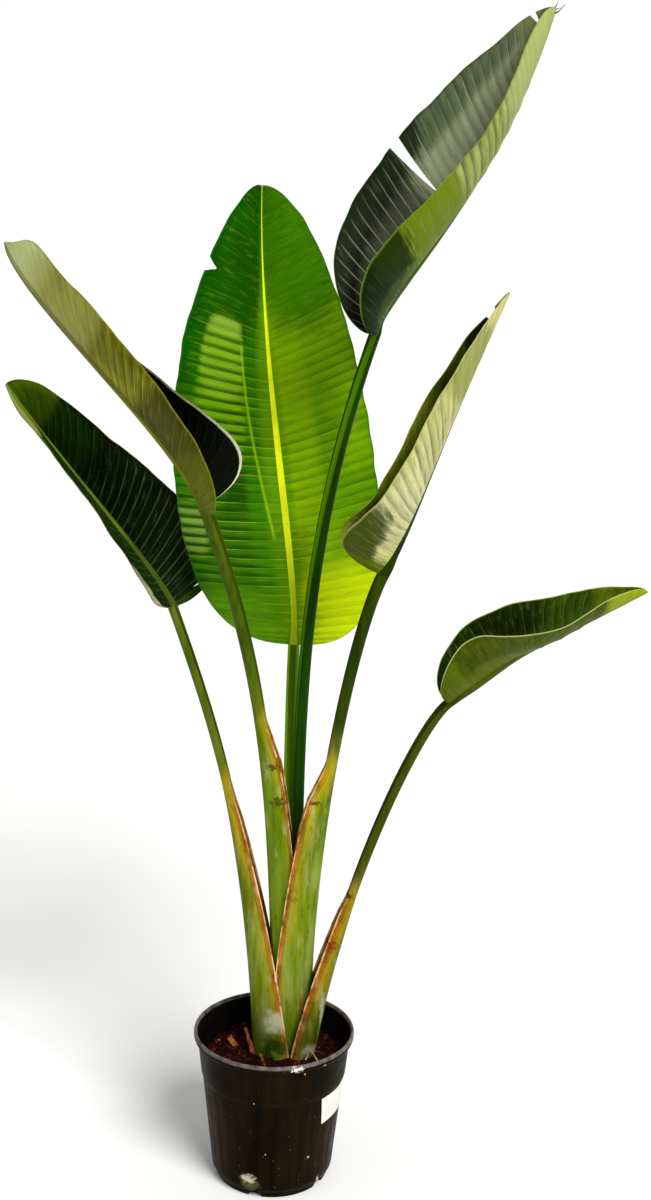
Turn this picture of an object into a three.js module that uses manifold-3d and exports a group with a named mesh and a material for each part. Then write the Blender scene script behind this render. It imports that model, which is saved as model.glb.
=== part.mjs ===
// Potted giant bird of paradise: six long-stalked leaves that stand as a fan in a round nursery pot.
// Millimetres, +Z up. The origin is the middle of the pot's underside, X runs along the fan, -Y is its front.
import * as THREE from 'three';
import { mergeVertices } from 'three/addons/utils/BufferGeometryUtils.js';
import Module from 'manifold-3d';

const wasm = await Module();
wasm.setup();

// ---- Driving dimensions ----------------------------------------------------------------------------

const seatGap = 0.3; // air between pieces that touch

// Pot: a 10 inch grow pot.
const potHeight = 243;
const potSegments = 60; // even: every second one carries a flute
const floorThickness = 2.8;
const fluteDepth = 0.9;
const drainCount = 5;
const drainRadius = 11; // half the width of each arched drain opening
const drainReach = 77; // how far from the middle the openings start
const drainLength = 30; // of the round cutter, long enough to leave through the wall
const drainHeight = 2; // of the cutter's axis over the underside
const firstDrainAngle = -105; // degrees from +X, so that one opening faces front left

// Outside of the wall from the middle of the underside up to the lip: radius, height, flute (1 where cut).
const potOutside = [
  [0, 0, 0],
  [42, 0, 0],
  [44, 1.2, 0],
  [60, 1.2, 0],
  [62, 0, 0],
  [86, 0, 0],
  [88.5, 3, 0],
  [89.5, 8, 0],
  [94, 15, 0],
  [95.5, 23, 1],
  [109.8, 160, 1],
  [110.4, 168, 0],
  [113, 175, 0],
  [118.5, 229, 0],
  [124, 232, 0],
  [125, 237, 0],
  [124, potHeight, 0],
];
// Inside of the wall from the lip down to the floor: radius, height.
const potInside = [
  [120.5, potHeight],
  [116.2, 229],
  [110.9, 176.5],
  [107.9, 168],
  [92.6, 18],
  [80, floorThickness],
];

// Potting mix: a plug that fills the pot up to a rough top.
const soilLevel = 198;
const soilSegments = 32;
const soilPlay = 0.45; // between the plug and the pot's wall, measured across
const brimDrop = 4; // the mix sinks towards the wall
const soilRings = [102, 86, 68, 46];
const chipCount = 12;
const chipSize = [15, 7, 4];

// Stalks: a channelled leaf stem that widens downwards into a clasping sheath.
const stalkDepth = 18;
const stalkHalfWidth = 9;
const stalkGroove = 3; // depth of the channel in the bare stem
const marginAngles = [140, 112]; // how far the back wraps round: bare stem, sheath
const stalkLip = 1.1; // thickness of the sheath's margin
const sheathBack = 9; // thickness of the sheath opposite its opening
const leastWall = 3; // left behind a channel
const stalkStations = 18;
const sectionSteps = 6; // round the back of a section
const channelSteps = 4; // across its channel
const footHeight = 150; // the stalks go on into the mix down to here

// Blades: a thin lamina on both sides of a midrib that thickens towards the stalk.
const laminaThickness = 1.2;
const ribHalfWidth = [7, 0.8]; // at the blade's base and at its tip
const ribDepth = [13, 1.4];
const bladeRows = 26;
const bladeColumns = [0, 0.3, 0.62, 0.86, 1]; // shares of the half width outside the midrib
const widestAt = 0.4; // share of the midrib's length
const pleatHeight = 0.8;
const rippleTurns = 34; // radians of margin ripple from base to tip
const tearStart = 0.0015; // half a tear's width at its inner end, as a share of the midrib's length
// How far the side veins run on towards the tip: shares of the distance from the midrib.
const leanMiddle = 0.16;
const leanTip = 0.45;
const veinSweep = 0.08;

// Each leaf: where its stalk stands and bends, and the midrib's Bezier points from blade base to tip.
// opens: direction of the sheath's opening at the foot, in degrees from the leaf's right towards its front.
// sheath: height where it opens out of the stalk, reach and half width at the foot, and an exponent that says
// how soon it swells below that height. arch: length of the stalk's top bend.
// half: width of one half of the blade, how far it rises out of the fan's plane (degrees, at four points from
// base to tip) and how much it curls from midrib to margin.
const leaves = [
  {
    name: 'lower_right',
    foot: [50, 2, footHeight],
    bend: [77, -4, 430],
    arch: 61,
    midrib: [[250, -20, 786], [378, -30, 893], [303, -45, 839], [522, -60, 971]],
    opens: 180,
    sheath: { top: 470, reach: 42, halfWidth: 29, swell: 0.8 },
    left: { width: 103, rise: [17, -5, 31, 14], curl: 30 },
    right: { width: 106, rise: [110, 155, 45, 122], curl: 40 },
    ripple: 2.5,
    tears: [],
    colour: 0x2f6a12,
  },
  {
    name: 'lower_left',
    foot: [-21, 0, footHeight],
    bend: [-37, 4, 537],
    arch: 240,
    midrib: [[-171, 116, 887], [-190, 128, 935], [-342, 120, 1110], [-414, 90, 1227]],
    opens: 0,
    sheath: { top: 630, reach: 62, halfWidth: 28, swell: 1 },
    left: { width: 105, rise: [83, 78, 95, 79], curl: 20 },
    right: { width: 109, rise: [-45, 0, 50, 15], curl: 15 },
    ripple: 2,
    tears: [
      { side: 1, at: 0.055, from: 3, open: 0.008 },
      { side: 1, at: 0.13, from: 3, open: 0.008 },
    ],
    colour: 0x153d12,
  },
  {
    name: 'right',
    foot: [52, 17, footHeight],
    bend: [31, 4, 487],
    arch: 95,
    midrib: [[146, -60, 987], [201, -75, 1099], [193, -95, 1123], [299, -115, 1389]],
    opens: 180,
    sheath: { top: 640, reach: 66, halfWidth: 25, swell: 0.38 },
    left: { width: 108, rise: [-20, 81, 23, 50], curl: 21 },
    right: { width: 122, rise: [143, 81, 101, 89], curl: 39 },
    ripple: 2.5,
    tears: [{ side: -1, at: 0.84, from: 2, open: 0.02 }],
    colour: 0x6b7a25,
  },
  {
    name: 'upper_left',
    foot: [8, 14, footHeight],
    bend: [-5, -8, 595],
    arch: 340,
    midrib: [[-110, -70, 1083], [-139, -95, 1173], [-368, -125, 1379], [-366, -150, 1441]],
    opens: 0,
    sheath: { top: 705, reach: 52, halfWidth: 22, swell: 0.36 },
    left: { width: 128, rise: [81, 110, 92, 113], curl: 44 },
    right: { width: 99, rise: [-47, 59, 35, 4], curl: 41 },
    ripple: 3,
    tears: [],
    colour: 0x66701c,
  },
  {
    name: 'top_right',
    foot: [36, 18, footHeight],
    bend: [29, 12, 674],
    arch: 385,
    midrib: [[125, 0, 1322], [148, -5, 1395], [290, -30, 1525], [346, -70, 1755]],
    opens: 180,
    sheath: { top: 560, reach: 34, halfWidth: 17, swell: 0.6 },
    left: { width: 138, rise: [63, -17, 26, 39], curl: 15 },
    right: { width: 139, rise: [76, 129, 47, 104], curl: 45 },
    ripple: 2.5,
    tears: [
      { side: -1, at: 0.5, from: 2, open: 0.022 },
      { side: -1, at: 0.9, from: 2, open: 0.02 },
    ],
    colour: 0x5f7a3a,
  },
  {
    name: 'centre',
    foot: [21, 30, footHeight],
    bend: [18, 38, 466],
    arch: 210,
    midrib: [[18, 60, 847], [21, 95, 977], [-47, 130, 1269], [-44, 150, 1519]],
    opens: 90,
    sheath: { top: 480, reach: 26, halfWidth: 13, swell: 0.6 },
    left: { width: 159, rise: [-26, 6, 44, 73], curl: -10 },
    right: { width: 143, rise: [-15, 8, 27, 39], curl: -10 },
    ripple: 2,
    tears: [{ side: -1, at: 0.8, from: 4, open: 0.012 }],
    colour: 0x3f8c0e,
  },
];

// Dry bits on the mix: sticks from one point to another, with a radius at each end.
const sticks = [
  { name: 'root_stub_tall', points: [[-38, -12, 190], [-50, -4, 229]], radii: [4.5, 3], colour: 0x7a4a20 },
  { name: 'root_stub_front', points: [[-19, -24, 203], [-11, -44, 197]], radii: [2.4, 2], colour: 0x6e3f22 },
  {
    name: 'twig',
    points: [[50, -28, 194], [57, -24, 213], [71, -22, 194]],
    radii: [1.6, 1.3, 1.6],
    colour: 0xb99a72,
  },
];
const flakeSize = [17, 4, 15];
const flakePlace = [-68, 20, 204];
const flakeTurn = [-0.5, 0.35, 0.7];

// Blank label on the wall: angles from +X, heights, thickness.
const labelAngles = [-42, -10];
const labelHeights = [121, 165];
const labelThickness = 0.7;
const labelSteps = [8, 3];

// ---- Small helpers ---------------------------------------------------------------------------------

const degrees = Math.PI / 180;

function mix(pair, share) {
  return pair[0] * (1 - share) + pair[1] * share;
}

// Four values blended along t as a cubic Bezier curve blends its points.
function blend(values, t) {
  const rest = 1 - t;
  const ends = values[0] * rest ** 3 + values[3] * t ** 3;
  return ends + 3 * rest * t * (values[1] * rest + values[2] * t);
}

function bezier(points) {
  return new THREE.CubicBezierCurve3(...points.map((point) => new THREE.Vector3(...point)));
}

// Tangent, front and right of a curve at t. Front is the direction to -Y, made square to the curve.
function frameAt(curve, t) {
  const along = curve.getTangent(t);
  const front = new THREE.Vector3(0, -1, 0);
  front.addScaledVector(along, -front.dot(along)).normalize();
  const right = new THREE.Vector3().crossVectors(along, front);
  return { along, front, right };
}

// Position-only geometry with shared corners, no collapsed triangles and its faces turned outwards.
function closedGeometry(source) {
  const bare = new THREE.BufferGeometry();
  bare.setAttribute('position', source.getAttribute('position').clone());
  if (source.index) bare.setIndex(source.index.clone());
  const merged = mergeVertices(bare, 1e-4);
  const position = merged.getAttribute('position');
  const index = merged.index.array;
  const corner = [new THREE.Vector3(), new THREE.Vector3(), new THREE.Vector3()];
  const kept = [];
  let volume = 0;
  for (let i = 0; i < index.length; i += 3) {
    const [a, b, c] = [index[i], index[i + 1], index[i + 2]];
    if (a === b || b === c || c === a) continue;
    kept.push([a, b, c]);
    [a, b, c].forEach((vertex, slot) => corner[slot].fromBufferAttribute(position, vertex));
    volume += corner[0].dot(corner[1].clone().cross(corner[2]));
  }
  merged.setIndex(kept.flatMap(([a, b, c]) => (volume > 0 ? [a, b, c] : [a, c, b])));
  return merged;
}

function toSolid(geometry) {
  const closed = closedGeometry(geometry);
  const vertProperties = new Float32Array(closed.getAttribute('position').array);
  const triVerts = new Uint32Array(closed.index.array);
  return new wasm.Manifold(new wasm.Mesh({ numProp: 3, vertProperties, triVerts }));
}

function toGeometry(solid) {
  const mesh = solid.getMesh();
  const geometry = new THREE.BufferGeometry();
  geometry.setAttribute('position', new THREE.BufferAttribute(new Float32Array(mesh.vertProperties), 3));
  geometry.setIndex(new THREE.BufferAttribute(new Uint32Array(mesh.triVerts), 1));
  return geometry;
}

// The biggest of a solid's separate bodies; the others are scraps left by a cut.
function largestBody(solid) {
  const bodies = solid.decompose();
  bodies.sort((a, b) => b.volume() - a.volume());
  return bodies[0];
}

function part(name, geometry, colour, roughness, place = [0, 0, 0]) {
  geometry.translate(...place.map((value) => -value));
  geometry.computeVertexNormals();
  const material = new THREE.MeshStandardMaterial({ color: colour, roughness, metalness: 0 });
  const mesh = new THREE.Mesh(geometry, material);
  mesh.name = name;
  mesh.position.set(...place);
  return mesh;
}

// ---- Pot -------------------------------------------------------------------------------------------

// Radius at a height on a profile list, between the two points around it.
function radiusAt(profile, height) {
  const rising = [...profile].sort((a, b) => a[1] - b[1]);
  const upper = rising.findIndex((point) => point[1] > height);
  const [low, high] = [rising[upper - 1], rising[upper]];
  return mix([low[0], high[0]], (height - low[1]) / (high[1] - low[1]));
}

function potGeometry() {
  const profile = [...potOutside, ...potInside, [0, floorThickness]];
  const points = profile.map(([radius, height]) => new THREE.Vector2(radius, height));
  const shell = new THREE.LatheGeometry(points, potSegments);
  const position = shell.getAttribute('position');
  // Flutes: every second meridian of the tapered wall lies a little deeper.
  for (let segment = 1; segment < potSegments; segment += 2) {
    potOutside.forEach(([radius, , flute], row) => {
      if (!flute) return;
      const vertex = segment * profile.length + row;
      const shrink = (radius - fluteDepth) / radius;
      position.setX(vertex, position.getX(vertex) * shrink);
      position.setZ(vertex, position.getZ(vertex) * shrink);
    });
  }
  shell.rotateX(90 * degrees);
  let pot = toSolid(shell);
  for (let i = 0; i < drainCount; i++) {
    const opening = new THREE.CylinderGeometry(drainRadius, drainRadius, drainLength, 12);
    opening.rotateZ(90 * degrees);
    opening.translate(drainReach + drainLength / 2, 0, drainHeight);
    opening.rotateZ((firstDrainAngle + (i * 360) / drainCount) * degrees);
    pot = pot.subtract(toSolid(opening));
  }
  return toGeometry(pot);
}

// ---- Stalks ----------------------------------------------------------------------------------------

function midribCurve(leaf) {
  return bezier(leaf.midrib);
}

// The stalk ends along the midrib's first direction, so stalk and midrib make one smooth line.
function stalkCurve(leaf) {
  const top = new THREE.Vector3(...leaf.midrib[0]);
  const along = midribCurve(leaf).getTangent(0);
  const approach = top.clone().addScaledVector(along, -leaf.arch);
  return bezier([leaf.foot, leaf.bend, approach.toArray(), leaf.midrib[0]]);
}

// Cross-section of a stalk: a crescent in (opening, sideways) coordinates, its back at -stalkDepth / 2.
// closure 0 is the bare stem, 1 the foot of the sheath. filled leaves the channel out, grow thickens it.
function stalkSection(leaf, closure, filled, grow) {
  const reach = mix([stalkDepth, leaf.sheath.reach], closure ** leaf.sheath.swell) + 2 * grow;
  const halfWidth = mix([stalkHalfWidth, leaf.sheath.halfWidth], closure ** 0.8) + grow;
  const marginAngle = mix(marginAngles, Math.min(1, closure * 4)) * degrees;
  const groove = mix([stalkGroove, leaf.sheath.reach - sheathBack], Math.min(1, closure * 1.6) ** 0.8);
  const radius = reach / (1 - Math.cos(marginAngle));
  const middle = radius - stalkDepth / 2 - grow;
  const section = [];
  for (let i = 0; i <= sectionSteps; i++) {
    const angle = marginAngle * (1 - (2 * i) / sectionSteps);
    section.push([middle - radius * Math.cos(angle), halfWidth * Math.sin(angle)]);
  }
  if (filled) return section;
  const margin = section[sectionSteps];
  const channel = Math.min(groove, reach - leastWall);
  for (let i = 0; i <= channelSteps; i++) {
    const angle = (90 - (180 * i) / channelSteps) * degrees;
    const sideways = (margin[1] + stalkLip + 2 * grow) * Math.sin(angle);
    section.push([margin[0] - channel * Math.cos(angle), sideways]);
  }
  return section;
}

function stalkGeometry(leaf, { filled = false, grow = 0 } = {}) {
  const curve = stalkCurve(leaf);
  // At the top the stem's channel faces the blade's fold.
  const fold = (180 + leaf.right.rise[0] - leaf.left.rise[0]) / 2;
  const vertices = [];
  let perRing = 0;
  for (let station = 0; station <= stalkStations; station++) {
    const t = station / stalkStations;
    const { along, front, right } = frameAt(curve, t);
    const centre = curve.getPoint(t);
    if (station === 0) centre.addScaledVector(along, -grow);
    if (station === stalkStations) centre.addScaledVector(along, grow - seatGap);
    const fromTop = (leaf.sheath.top - centre.z) / (leaf.sheath.top - footHeight);
    const closure = THREE.MathUtils.clamp(fromTop, 0, 1);
    const turn = mix([leaf.opens, fold], t ** 2) * degrees;
    const opening = right.clone().multiplyScalar(Math.cos(turn)).addScaledVector(front, Math.sin(turn));
    const sideways = new THREE.Vector3().crossVectors(along, opening);
    const section = stalkSection(leaf, closure, filled, grow);
    perRing = section.length;
    for (const [out, across] of section) {
      const corner = centre.clone().addScaledVector(opening, out).addScaledVector(sideways, across);
      vertices.push(corner.x, corner.y, corner.z);
    }
  }
  return sweptGeometry(vertices, perRing, stalkStations, stalkSection(leaf, 1, filled, grow));
}

// Closed skin over rings of corners, capped at both ends by the triangles of the section.
function sweptGeometry(vertices, perRing, steps, section) {
  const index = [];
  for (let ring = 0; ring < steps; ring++) {
    for (let i = 0; i < perRing; i++) {
      const a = ring * perRing + i;
      const b = ring * perRing + ((i + 1) % perRing);
      index.push(a, b, b + perRing);
      index.push(a, b + perRing, a + perRing);
    }
  }
  const outline = section.map(([x, y]) => new THREE.Vector2(x, y));
  const last = steps * perRing;
  for (const [a, b, c] of THREE.ShapeUtils.triangulateShape(outline, [])) {
    index.push(a, c, b);
    index.push(last + a, last + b, last + c);
  }
  const geometry = new THREE.BufferGeometry();
  geometry.setAttribute('position', new THREE.Float32BufferAttribute(vertices, 3));
  geometry.setIndex(index);
  return geometry;
}

// ---- Blades ----------------------------------------------------------------------------------------

// Half width along the blade as a share of its widest: round lobes at the base, a blunt point at the tip.
function outline(t) {
  if (t < widestAt) return Math.cbrt(1 - (1 - t / widestAt) ** 3);
  return (1 - ((t - widestAt) / (1 - widestAt)) ** 2.5) ** 0.72;
}

// A point of the upper face, at a distance from the midrib, and the direction the face looks there.
function laminaPoint(leaf, curve, side, t, distance, reach) {
  const half = side < 0 ? leaf.left : leaf.right;
  const { along, front, right } = frameAt(curve, t);
  const rise = blend(half.rise, t) * degrees;
  const curl = half.curl * degrees;
  const turned = rise + (curl * distance) / reach;
  const radius = reach / curl;
  const outwards = side * radius * (Math.sin(turned) - Math.sin(rise));
  const forwards = radius * (Math.cos(rise) - Math.cos(turned));
  const lean = leanMiddle * t * (1 - t) + leanTip * t ** 2;
  const advance = distance * lean + (veinSweep * distance ** 2) / half.width;
  const point = curve.getPoint(t).addScaledVector(right, outwards);
  point.addScaledVector(front, forwards).addScaledVector(along, advance);
  const upper = front.clone().multiplyScalar(Math.cos(turned));
  upper.addScaledVector(right, -side * Math.sin(turned));
  return { point, upper };
}

// Stations along the blade, closer together at both ends, with two lips for every tear.
function bladeStations(leaf) {
  const stations = [];
  for (let i = 0; i <= bladeRows; i++) {
    const share = i / bladeRows;
    const t = share - Math.sin(2 * Math.PI * share) / (4 * Math.PI);
    const nearTear = leaf.tears.some((tear) => Math.abs(tear.at - t) < tear.open + 0.004);
    if (!nearTear || i === 0 || i === bladeRows) stations.push({ t, pleat: i % 2 ? 1 : -1 });
  }
  for (const tear of leaf.tears) {
    stations.push({ t: tear.at - tearStart, pleat: 0, tear, lip: -1 });
    stations.push({ t: tear.at + tearStart, pleat: 0, tear, lip: 1 });
  }
  return stations.sort((a, b) => a.t - b.t);
}

// Upper and lower corner of the blade at a station and a column. Column 0 is the midrib, and negative
// columns are the left half.
function bladeCorners(leaf, curve, station, column) {
  const side = column < 0 ? -1 : 1;
  const half = side < 0 ? leaf.left : leaf.right;
  const step = Math.abs(column);
  let t = station.t;
  const { tear, lip } = station;
  if (tear && tear.side === side && step > tear.from) {
    const innerEnd = bladeColumns[tear.from - 1];
    const opened = (bladeColumns[step - 1] - innerEnd) / (1 - innerEnd);
    t += lip * tear.open * opened;
  }
  const rib = mix(ribHalfWidth, t);
  const depth = mix(ribDepth, t);
  const reach = Math.max(half.width * outline(t), rib + 1);
  if (step === 0) {
    const left = laminaPoint(leaf, curve, -1, t, 0, reach).upper;
    const { point, upper } = laminaPoint(leaf, curve, 1, t, 0, reach);
    const keel = upper.add(left).normalize();
    return [point, point.clone().addScaledVector(keel, -depth)];
  }
  const share = bladeColumns[step - 1];
  const { point, upper } = laminaPoint(leaf, curve, side, t, rib + (reach - rib) * share, reach);
  const wave = leaf.ripple * share ** 2 * Math.sin(rippleTurns * t + 2 * side);
  const pleat = station.pleat * pleatHeight * Math.min(1, 3 * share);
  point.addScaledVector(upper, (wave + pleat) * Math.min(1, reach / 40));
  const thickness = laminaThickness + (step === 1 ? depth * 0.3 : 0);
  return [point, point.clone().addScaledVector(upper, -thickness)];
}

// One closed body: upper and lower face split alike, joined by a thin wall round every free edge.
function bladeGeometry(leaf) {
  const curve = midribCurve(leaf);
  const stations = bladeStations(leaf);
  const side = bladeColumns.length;
  const width = 2 * side + 1;
  const vertices = [];
  for (const station of stations) {
    for (let column = -side; column <= side; column++) {
      for (const corner of bladeCorners(leaf, curve, station, column)) {
        vertices.push(corner.x, corner.y, corner.z);
      }
    }
  }
  const upper = (row, column) => 2 * (row * width + column);
  const lower = (row, column) => upper(row, column) + 1;
  const isTorn = (row, column) => {
    const { tear, lip } = stations[row];
    if (!tear || lip > 0) return false;
    const step = column - side;
    return tear.side < 0 ? step < -tear.from : step >= tear.from;
  };
  const exists = (row, column) => {
    if (row < 0 || column < 0 || row >= stations.length - 1 || column >= width - 1) return false;
    return !isTorn(row, column);
  };
  const index = [];
  const wall = (rowA, columnA, rowB, columnB) => {
    index.push(upper(rowA, columnA), lower(rowA, columnA), lower(rowB, columnB));
    index.push(upper(rowA, columnA), lower(rowB, columnB), upper(rowB, columnB));
  };
  for (let row = 0; row < stations.length - 1; row++) {
    for (let column = 0; column < width - 1; column++) {
      if (!exists(row, column)) continue;
      index.push(upper(row, column), upper(row, column + 1), upper(row + 1, column + 1));
      index.push(upper(row, column), upper(row + 1, column + 1), upper(row + 1, column));
      index.push(lower(row, column), lower(row + 1, column + 1), lower(row, column + 1));
      index.push(lower(row, column), lower(row + 1, column), lower(row + 1, column + 1));
      if (!exists(row - 1, column)) wall(row, column, row, column + 1);
      if (!exists(row + 1, column)) wall(row + 1, column + 1, row + 1, column);
      if (!exists(row, column - 1)) wall(row + 1, column, row, column);
      if (!exists(row, column + 1)) wall(row, column + 1, row + 1, column + 1);
    }
  }
  const geometry = new THREE.BufferGeometry();
  geometry.setAttribute('position', new THREE.Float32BufferAttribute(vertices, 3));
  geometry.setIndex(index);
  return closedGeometry(geometry);
}

// ---- Potting mix and the dry bits on it ------------------------------------------------------------

// Repeatable draw between 0 and 1.
function drawFrom(seed) {
  let state = seed;
  return () => {
    state = (state * 16807) % 2147483647;
    return state / 2147483647;
  };
}

function soilHeight(x, y) {
  const coarse = 2.6 * Math.sin(x / 11 + 1) * Math.cos(y / 13);
  const fine = 1.4 * Math.sin(x / 5 - y / 7);
  return soilLevel + coarse + fine;
}

function soilBody() {
  const sides = potInside.filter(([, height]) => height < soilLevel - 2 * brimDrop).reverse();
  const points = [new THREE.Vector2(0, floorThickness + seatGap)];
  for (const [radius, height] of sides) points.push(new THREE.Vector2(radius - soilPlay, height + seatGap));
  const brim = radiusAt(potInside, soilLevel - brimDrop) - soilPlay;
  points.push(new THREE.Vector2(brim, soilLevel - brimDrop));
  const firstRing = points.length;
  for (const radius of soilRings) points.push(new THREE.Vector2(radius, soilLevel));
  points.push(new THREE.Vector2(0, soilLevel));
  const lathe = new THREE.LatheGeometry(points, soilSegments);
  lathe.rotateX(90 * degrees);
  const position = lathe.getAttribute('position');
  for (let i = 0; i < position.count; i++) {
    if (i % points.length < firstRing) continue;
    position.setZ(i, soilHeight(position.getX(i), position.getY(i)));
  }
  return toSolid(lathe);
}

// Bark chips that lie half sunk in the mix, between the clump of stalks and the pot's wall.
function chips() {
  const draw = drawFrom(11);
  const solids = [];
  for (let i = 0; i < chipCount; i++) {
    const angle = ((i + 0.6 * draw()) / chipCount) * 360 * degrees;
    const distance = 72 + 22 * draw();
    const [x, y] = [distance * Math.cos(angle), distance * Math.sin(angle)];
    const chip = new THREE.BoxGeometry(...chipSize);
    chip.rotateY((draw() - 0.5) * 0.7);
    chip.rotateX((draw() - 0.5) * 0.7);
    chip.rotateZ(draw() * 360 * degrees);
    chip.translate(x, y, soilHeight(x, y) + 0.6);
    solids.push(toSolid(chip));
  }
  return solids;
}

// A stick through two or more points, each stretch a tapered rod with seven sides.
function stickBody({ points, radii }, grow = 0) {
  let body = null;
  for (let i = 0; i + 1 < points.length; i++) {
    const from = new THREE.Vector3(...points[i]);
    const to = new THREE.Vector3(...points[i + 1]);
    const length = from.distanceTo(to) + 2 * grow;
    const rod = new THREE.CylinderGeometry(radii[i + 1] + grow, radii[i] + grow, length, 7);
    const upright = new THREE.Vector3(0, 1, 0);
    const direction = to.clone().sub(from).normalize();
    rod.applyQuaternion(new THREE.Quaternion().setFromUnitVectors(upright, direction));
    rod.translate(...from.add(to).multiplyScalar(0.5).toArray());
    body = body ? body.add(toSolid(rod)) : toSolid(rod);
  }
  return body;
}

function flakeBody(grow = 0) {
  const flake = new THREE.BoxGeometry(...flakeSize.map((size) => size + 2 * grow));
  flake.rotateX(flakeTurn[0]).rotateY(flakeTurn[1]).rotateZ(flakeTurn[2]);
  flake.translate(...flakePlace);
  return toSolid(flake);
}

// ---- Label -----------------------------------------------------------------------------------------

// A thin sheet that follows the wall, standing on the crests of its flutes.
function labelGeometry() {
  const [turns, rises] = labelSteps;
  const vertices = [];
  for (let i = 0; i <= turns; i++) {
    const angle = mix(labelAngles, i / turns) * degrees;
    for (let j = 0; j <= rises; j++) {
      const height = mix(labelHeights, j / rises);
      const inner = radiusAt(potOutside, height) + seatGap;
      for (const radius of [inner + labelThickness, inner]) {
        vertices.push(radius * Math.cos(angle), radius * Math.sin(angle), height);
      }
    }
  }
  const outer = (i, j) => 2 * (i * (rises + 1) + j);
  const index = [];
  const quad = (a, b, c, d) => index.push(a, b, c, a, c, d);
  for (let i = 0; i < turns; i++) {
    for (let j = 0; j < rises; j++) {
      quad(outer(i, j), outer(i + 1, j), outer(i + 1, j + 1), outer(i, j + 1));
      quad(outer(i, j) + 1, outer(i, j + 1) + 1, outer(i + 1, j + 1) + 1, outer(i + 1, j) + 1);
    }
    quad(outer(i, 0), outer(i, 0) + 1, outer(i + 1, 0) + 1, outer(i + 1, 0));
    quad(outer(i, rises), outer(i + 1, rises), outer(i + 1, rises) + 1, outer(i, rises) + 1);
  }
  for (let j = 0; j < rises; j++) {
    quad(outer(0, j), outer(0, j + 1), outer(0, j + 1) + 1, outer(0, j) + 1);
    quad(outer(turns, j), outer(turns, j) + 1, outer(turns, j + 1) + 1, outer(turns, j + 1));
  }
  const geometry = new THREE.BufferGeometry();
  geometry.setAttribute('position', new THREE.Float32BufferAttribute(vertices, 3));
  geometry.setIndex(index);
  return closedGeometry(geometry);
}

// ---- Assembly --------------------------------------------------------------------------------------

const plant = new THREE.Group();
plant.add(part('pot', potGeometry(), 0x17130e, 0.45));
plant.add(part('label', labelGeometry(), 0xf4f4f0, 0.5));

// The list of leaves runs from the outermost sheath to the innermost, and each is trimmed by those outside it.
let soil = soilBody();
for (const chip of chips()) soil = soil.add(chip);
const outerSheaths = [];
for (const leaf of leaves) {
  let stalk = toSolid(stalkGeometry(leaf));
  for (const outer of outerSheaths) stalk = stalk.subtract(outer);
  outerSheaths.push(toSolid(stalkGeometry(leaf, { grow: seatGap })));
  soil = soil.subtract(toSolid(stalkGeometry(leaf, { filled: true, grow: seatGap })));
  plant.add(part(`stalk_${leaf.name}`, toGeometry(largestBody(stalk)), 0x5c7d22, 0.45, leaf.foot));
  plant.add(part(`blade_${leaf.name}`, bladeGeometry(leaf), leaf.colour, 0.4, leaf.midrib[0]));
}

for (const stick of sticks) {
  soil = soil.subtract(stickBody(stick, seatGap));
  plant.add(part(stick.name, toGeometry(stickBody(stick)), stick.colour, 0.85, stick.points[0]));
}
soil = soil.subtract(flakeBody(seatGap));
plant.add(part('bark_flake', toGeometry(flakeBody()), 0xa5602c, 0.85, flakePlace));
plant.add(part('soil', toGeometry(largestBody(soil)), 0x2c130c, 0.95));

export default plant;
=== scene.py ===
# %% [markdown]
# # A potted bird of paradise
#
# A young giant bird of paradise stands in a black grow pot: six leaves on long stalks, spread as a fan.
# It is built around a fixed frame, a plain model that says where every piece stands and how big it is.
# Each piece made here replaces one solid of that frame and keeps its form, so nothing changes size.

# %% Load the frame
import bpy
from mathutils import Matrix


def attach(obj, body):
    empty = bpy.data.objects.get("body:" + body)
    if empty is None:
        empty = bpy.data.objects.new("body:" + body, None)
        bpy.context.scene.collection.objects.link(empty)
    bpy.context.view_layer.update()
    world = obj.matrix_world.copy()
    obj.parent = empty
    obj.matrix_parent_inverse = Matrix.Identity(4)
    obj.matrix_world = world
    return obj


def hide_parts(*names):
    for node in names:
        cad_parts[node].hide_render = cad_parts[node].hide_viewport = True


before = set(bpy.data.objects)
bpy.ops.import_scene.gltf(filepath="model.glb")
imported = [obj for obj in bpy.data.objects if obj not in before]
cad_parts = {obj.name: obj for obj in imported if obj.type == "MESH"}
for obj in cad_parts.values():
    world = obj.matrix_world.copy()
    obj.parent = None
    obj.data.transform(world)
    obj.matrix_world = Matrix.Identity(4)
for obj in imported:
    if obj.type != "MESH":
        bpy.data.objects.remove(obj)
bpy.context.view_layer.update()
print("frame nodes:", len(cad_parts))

# %% Modules
import math
import random

import bpy
import numpy as np
from mathutils import Matrix, Vector, noise

# %% [markdown]
# ## Working habits
#
# Blender's operators act on everything that is selected. The frame's nodes come in selected, so each piece
# starts by deselecting all. Faces and vertices are picked in code, by their place, instead of by mouse.
# The tables in this lesson are in millimetres, because plants are easier to measure so, and MM turns them
# into Blender's metres.

# %% Selection helpers
MM = 0.001


def deselect_all():
    bpy.ops.object.select_all(action="DESELECT")


def make_active(piece):
    deselect_all()
    piece.select_set(True)
    bpy.context.view_layer.objects.active = piece


def name_piece(name):
    """Names the piece that the last operator made or joined."""
    piece = bpy.context.object
    piece.name = name
    piece.data.name = name
    return piece


def join_pieces(pieces, name):
    make_active(pieces[0])
    for piece in pieces:
        piece.select_set(True)
    bpy.ops.object.join()
    return name_piece(name)


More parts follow.
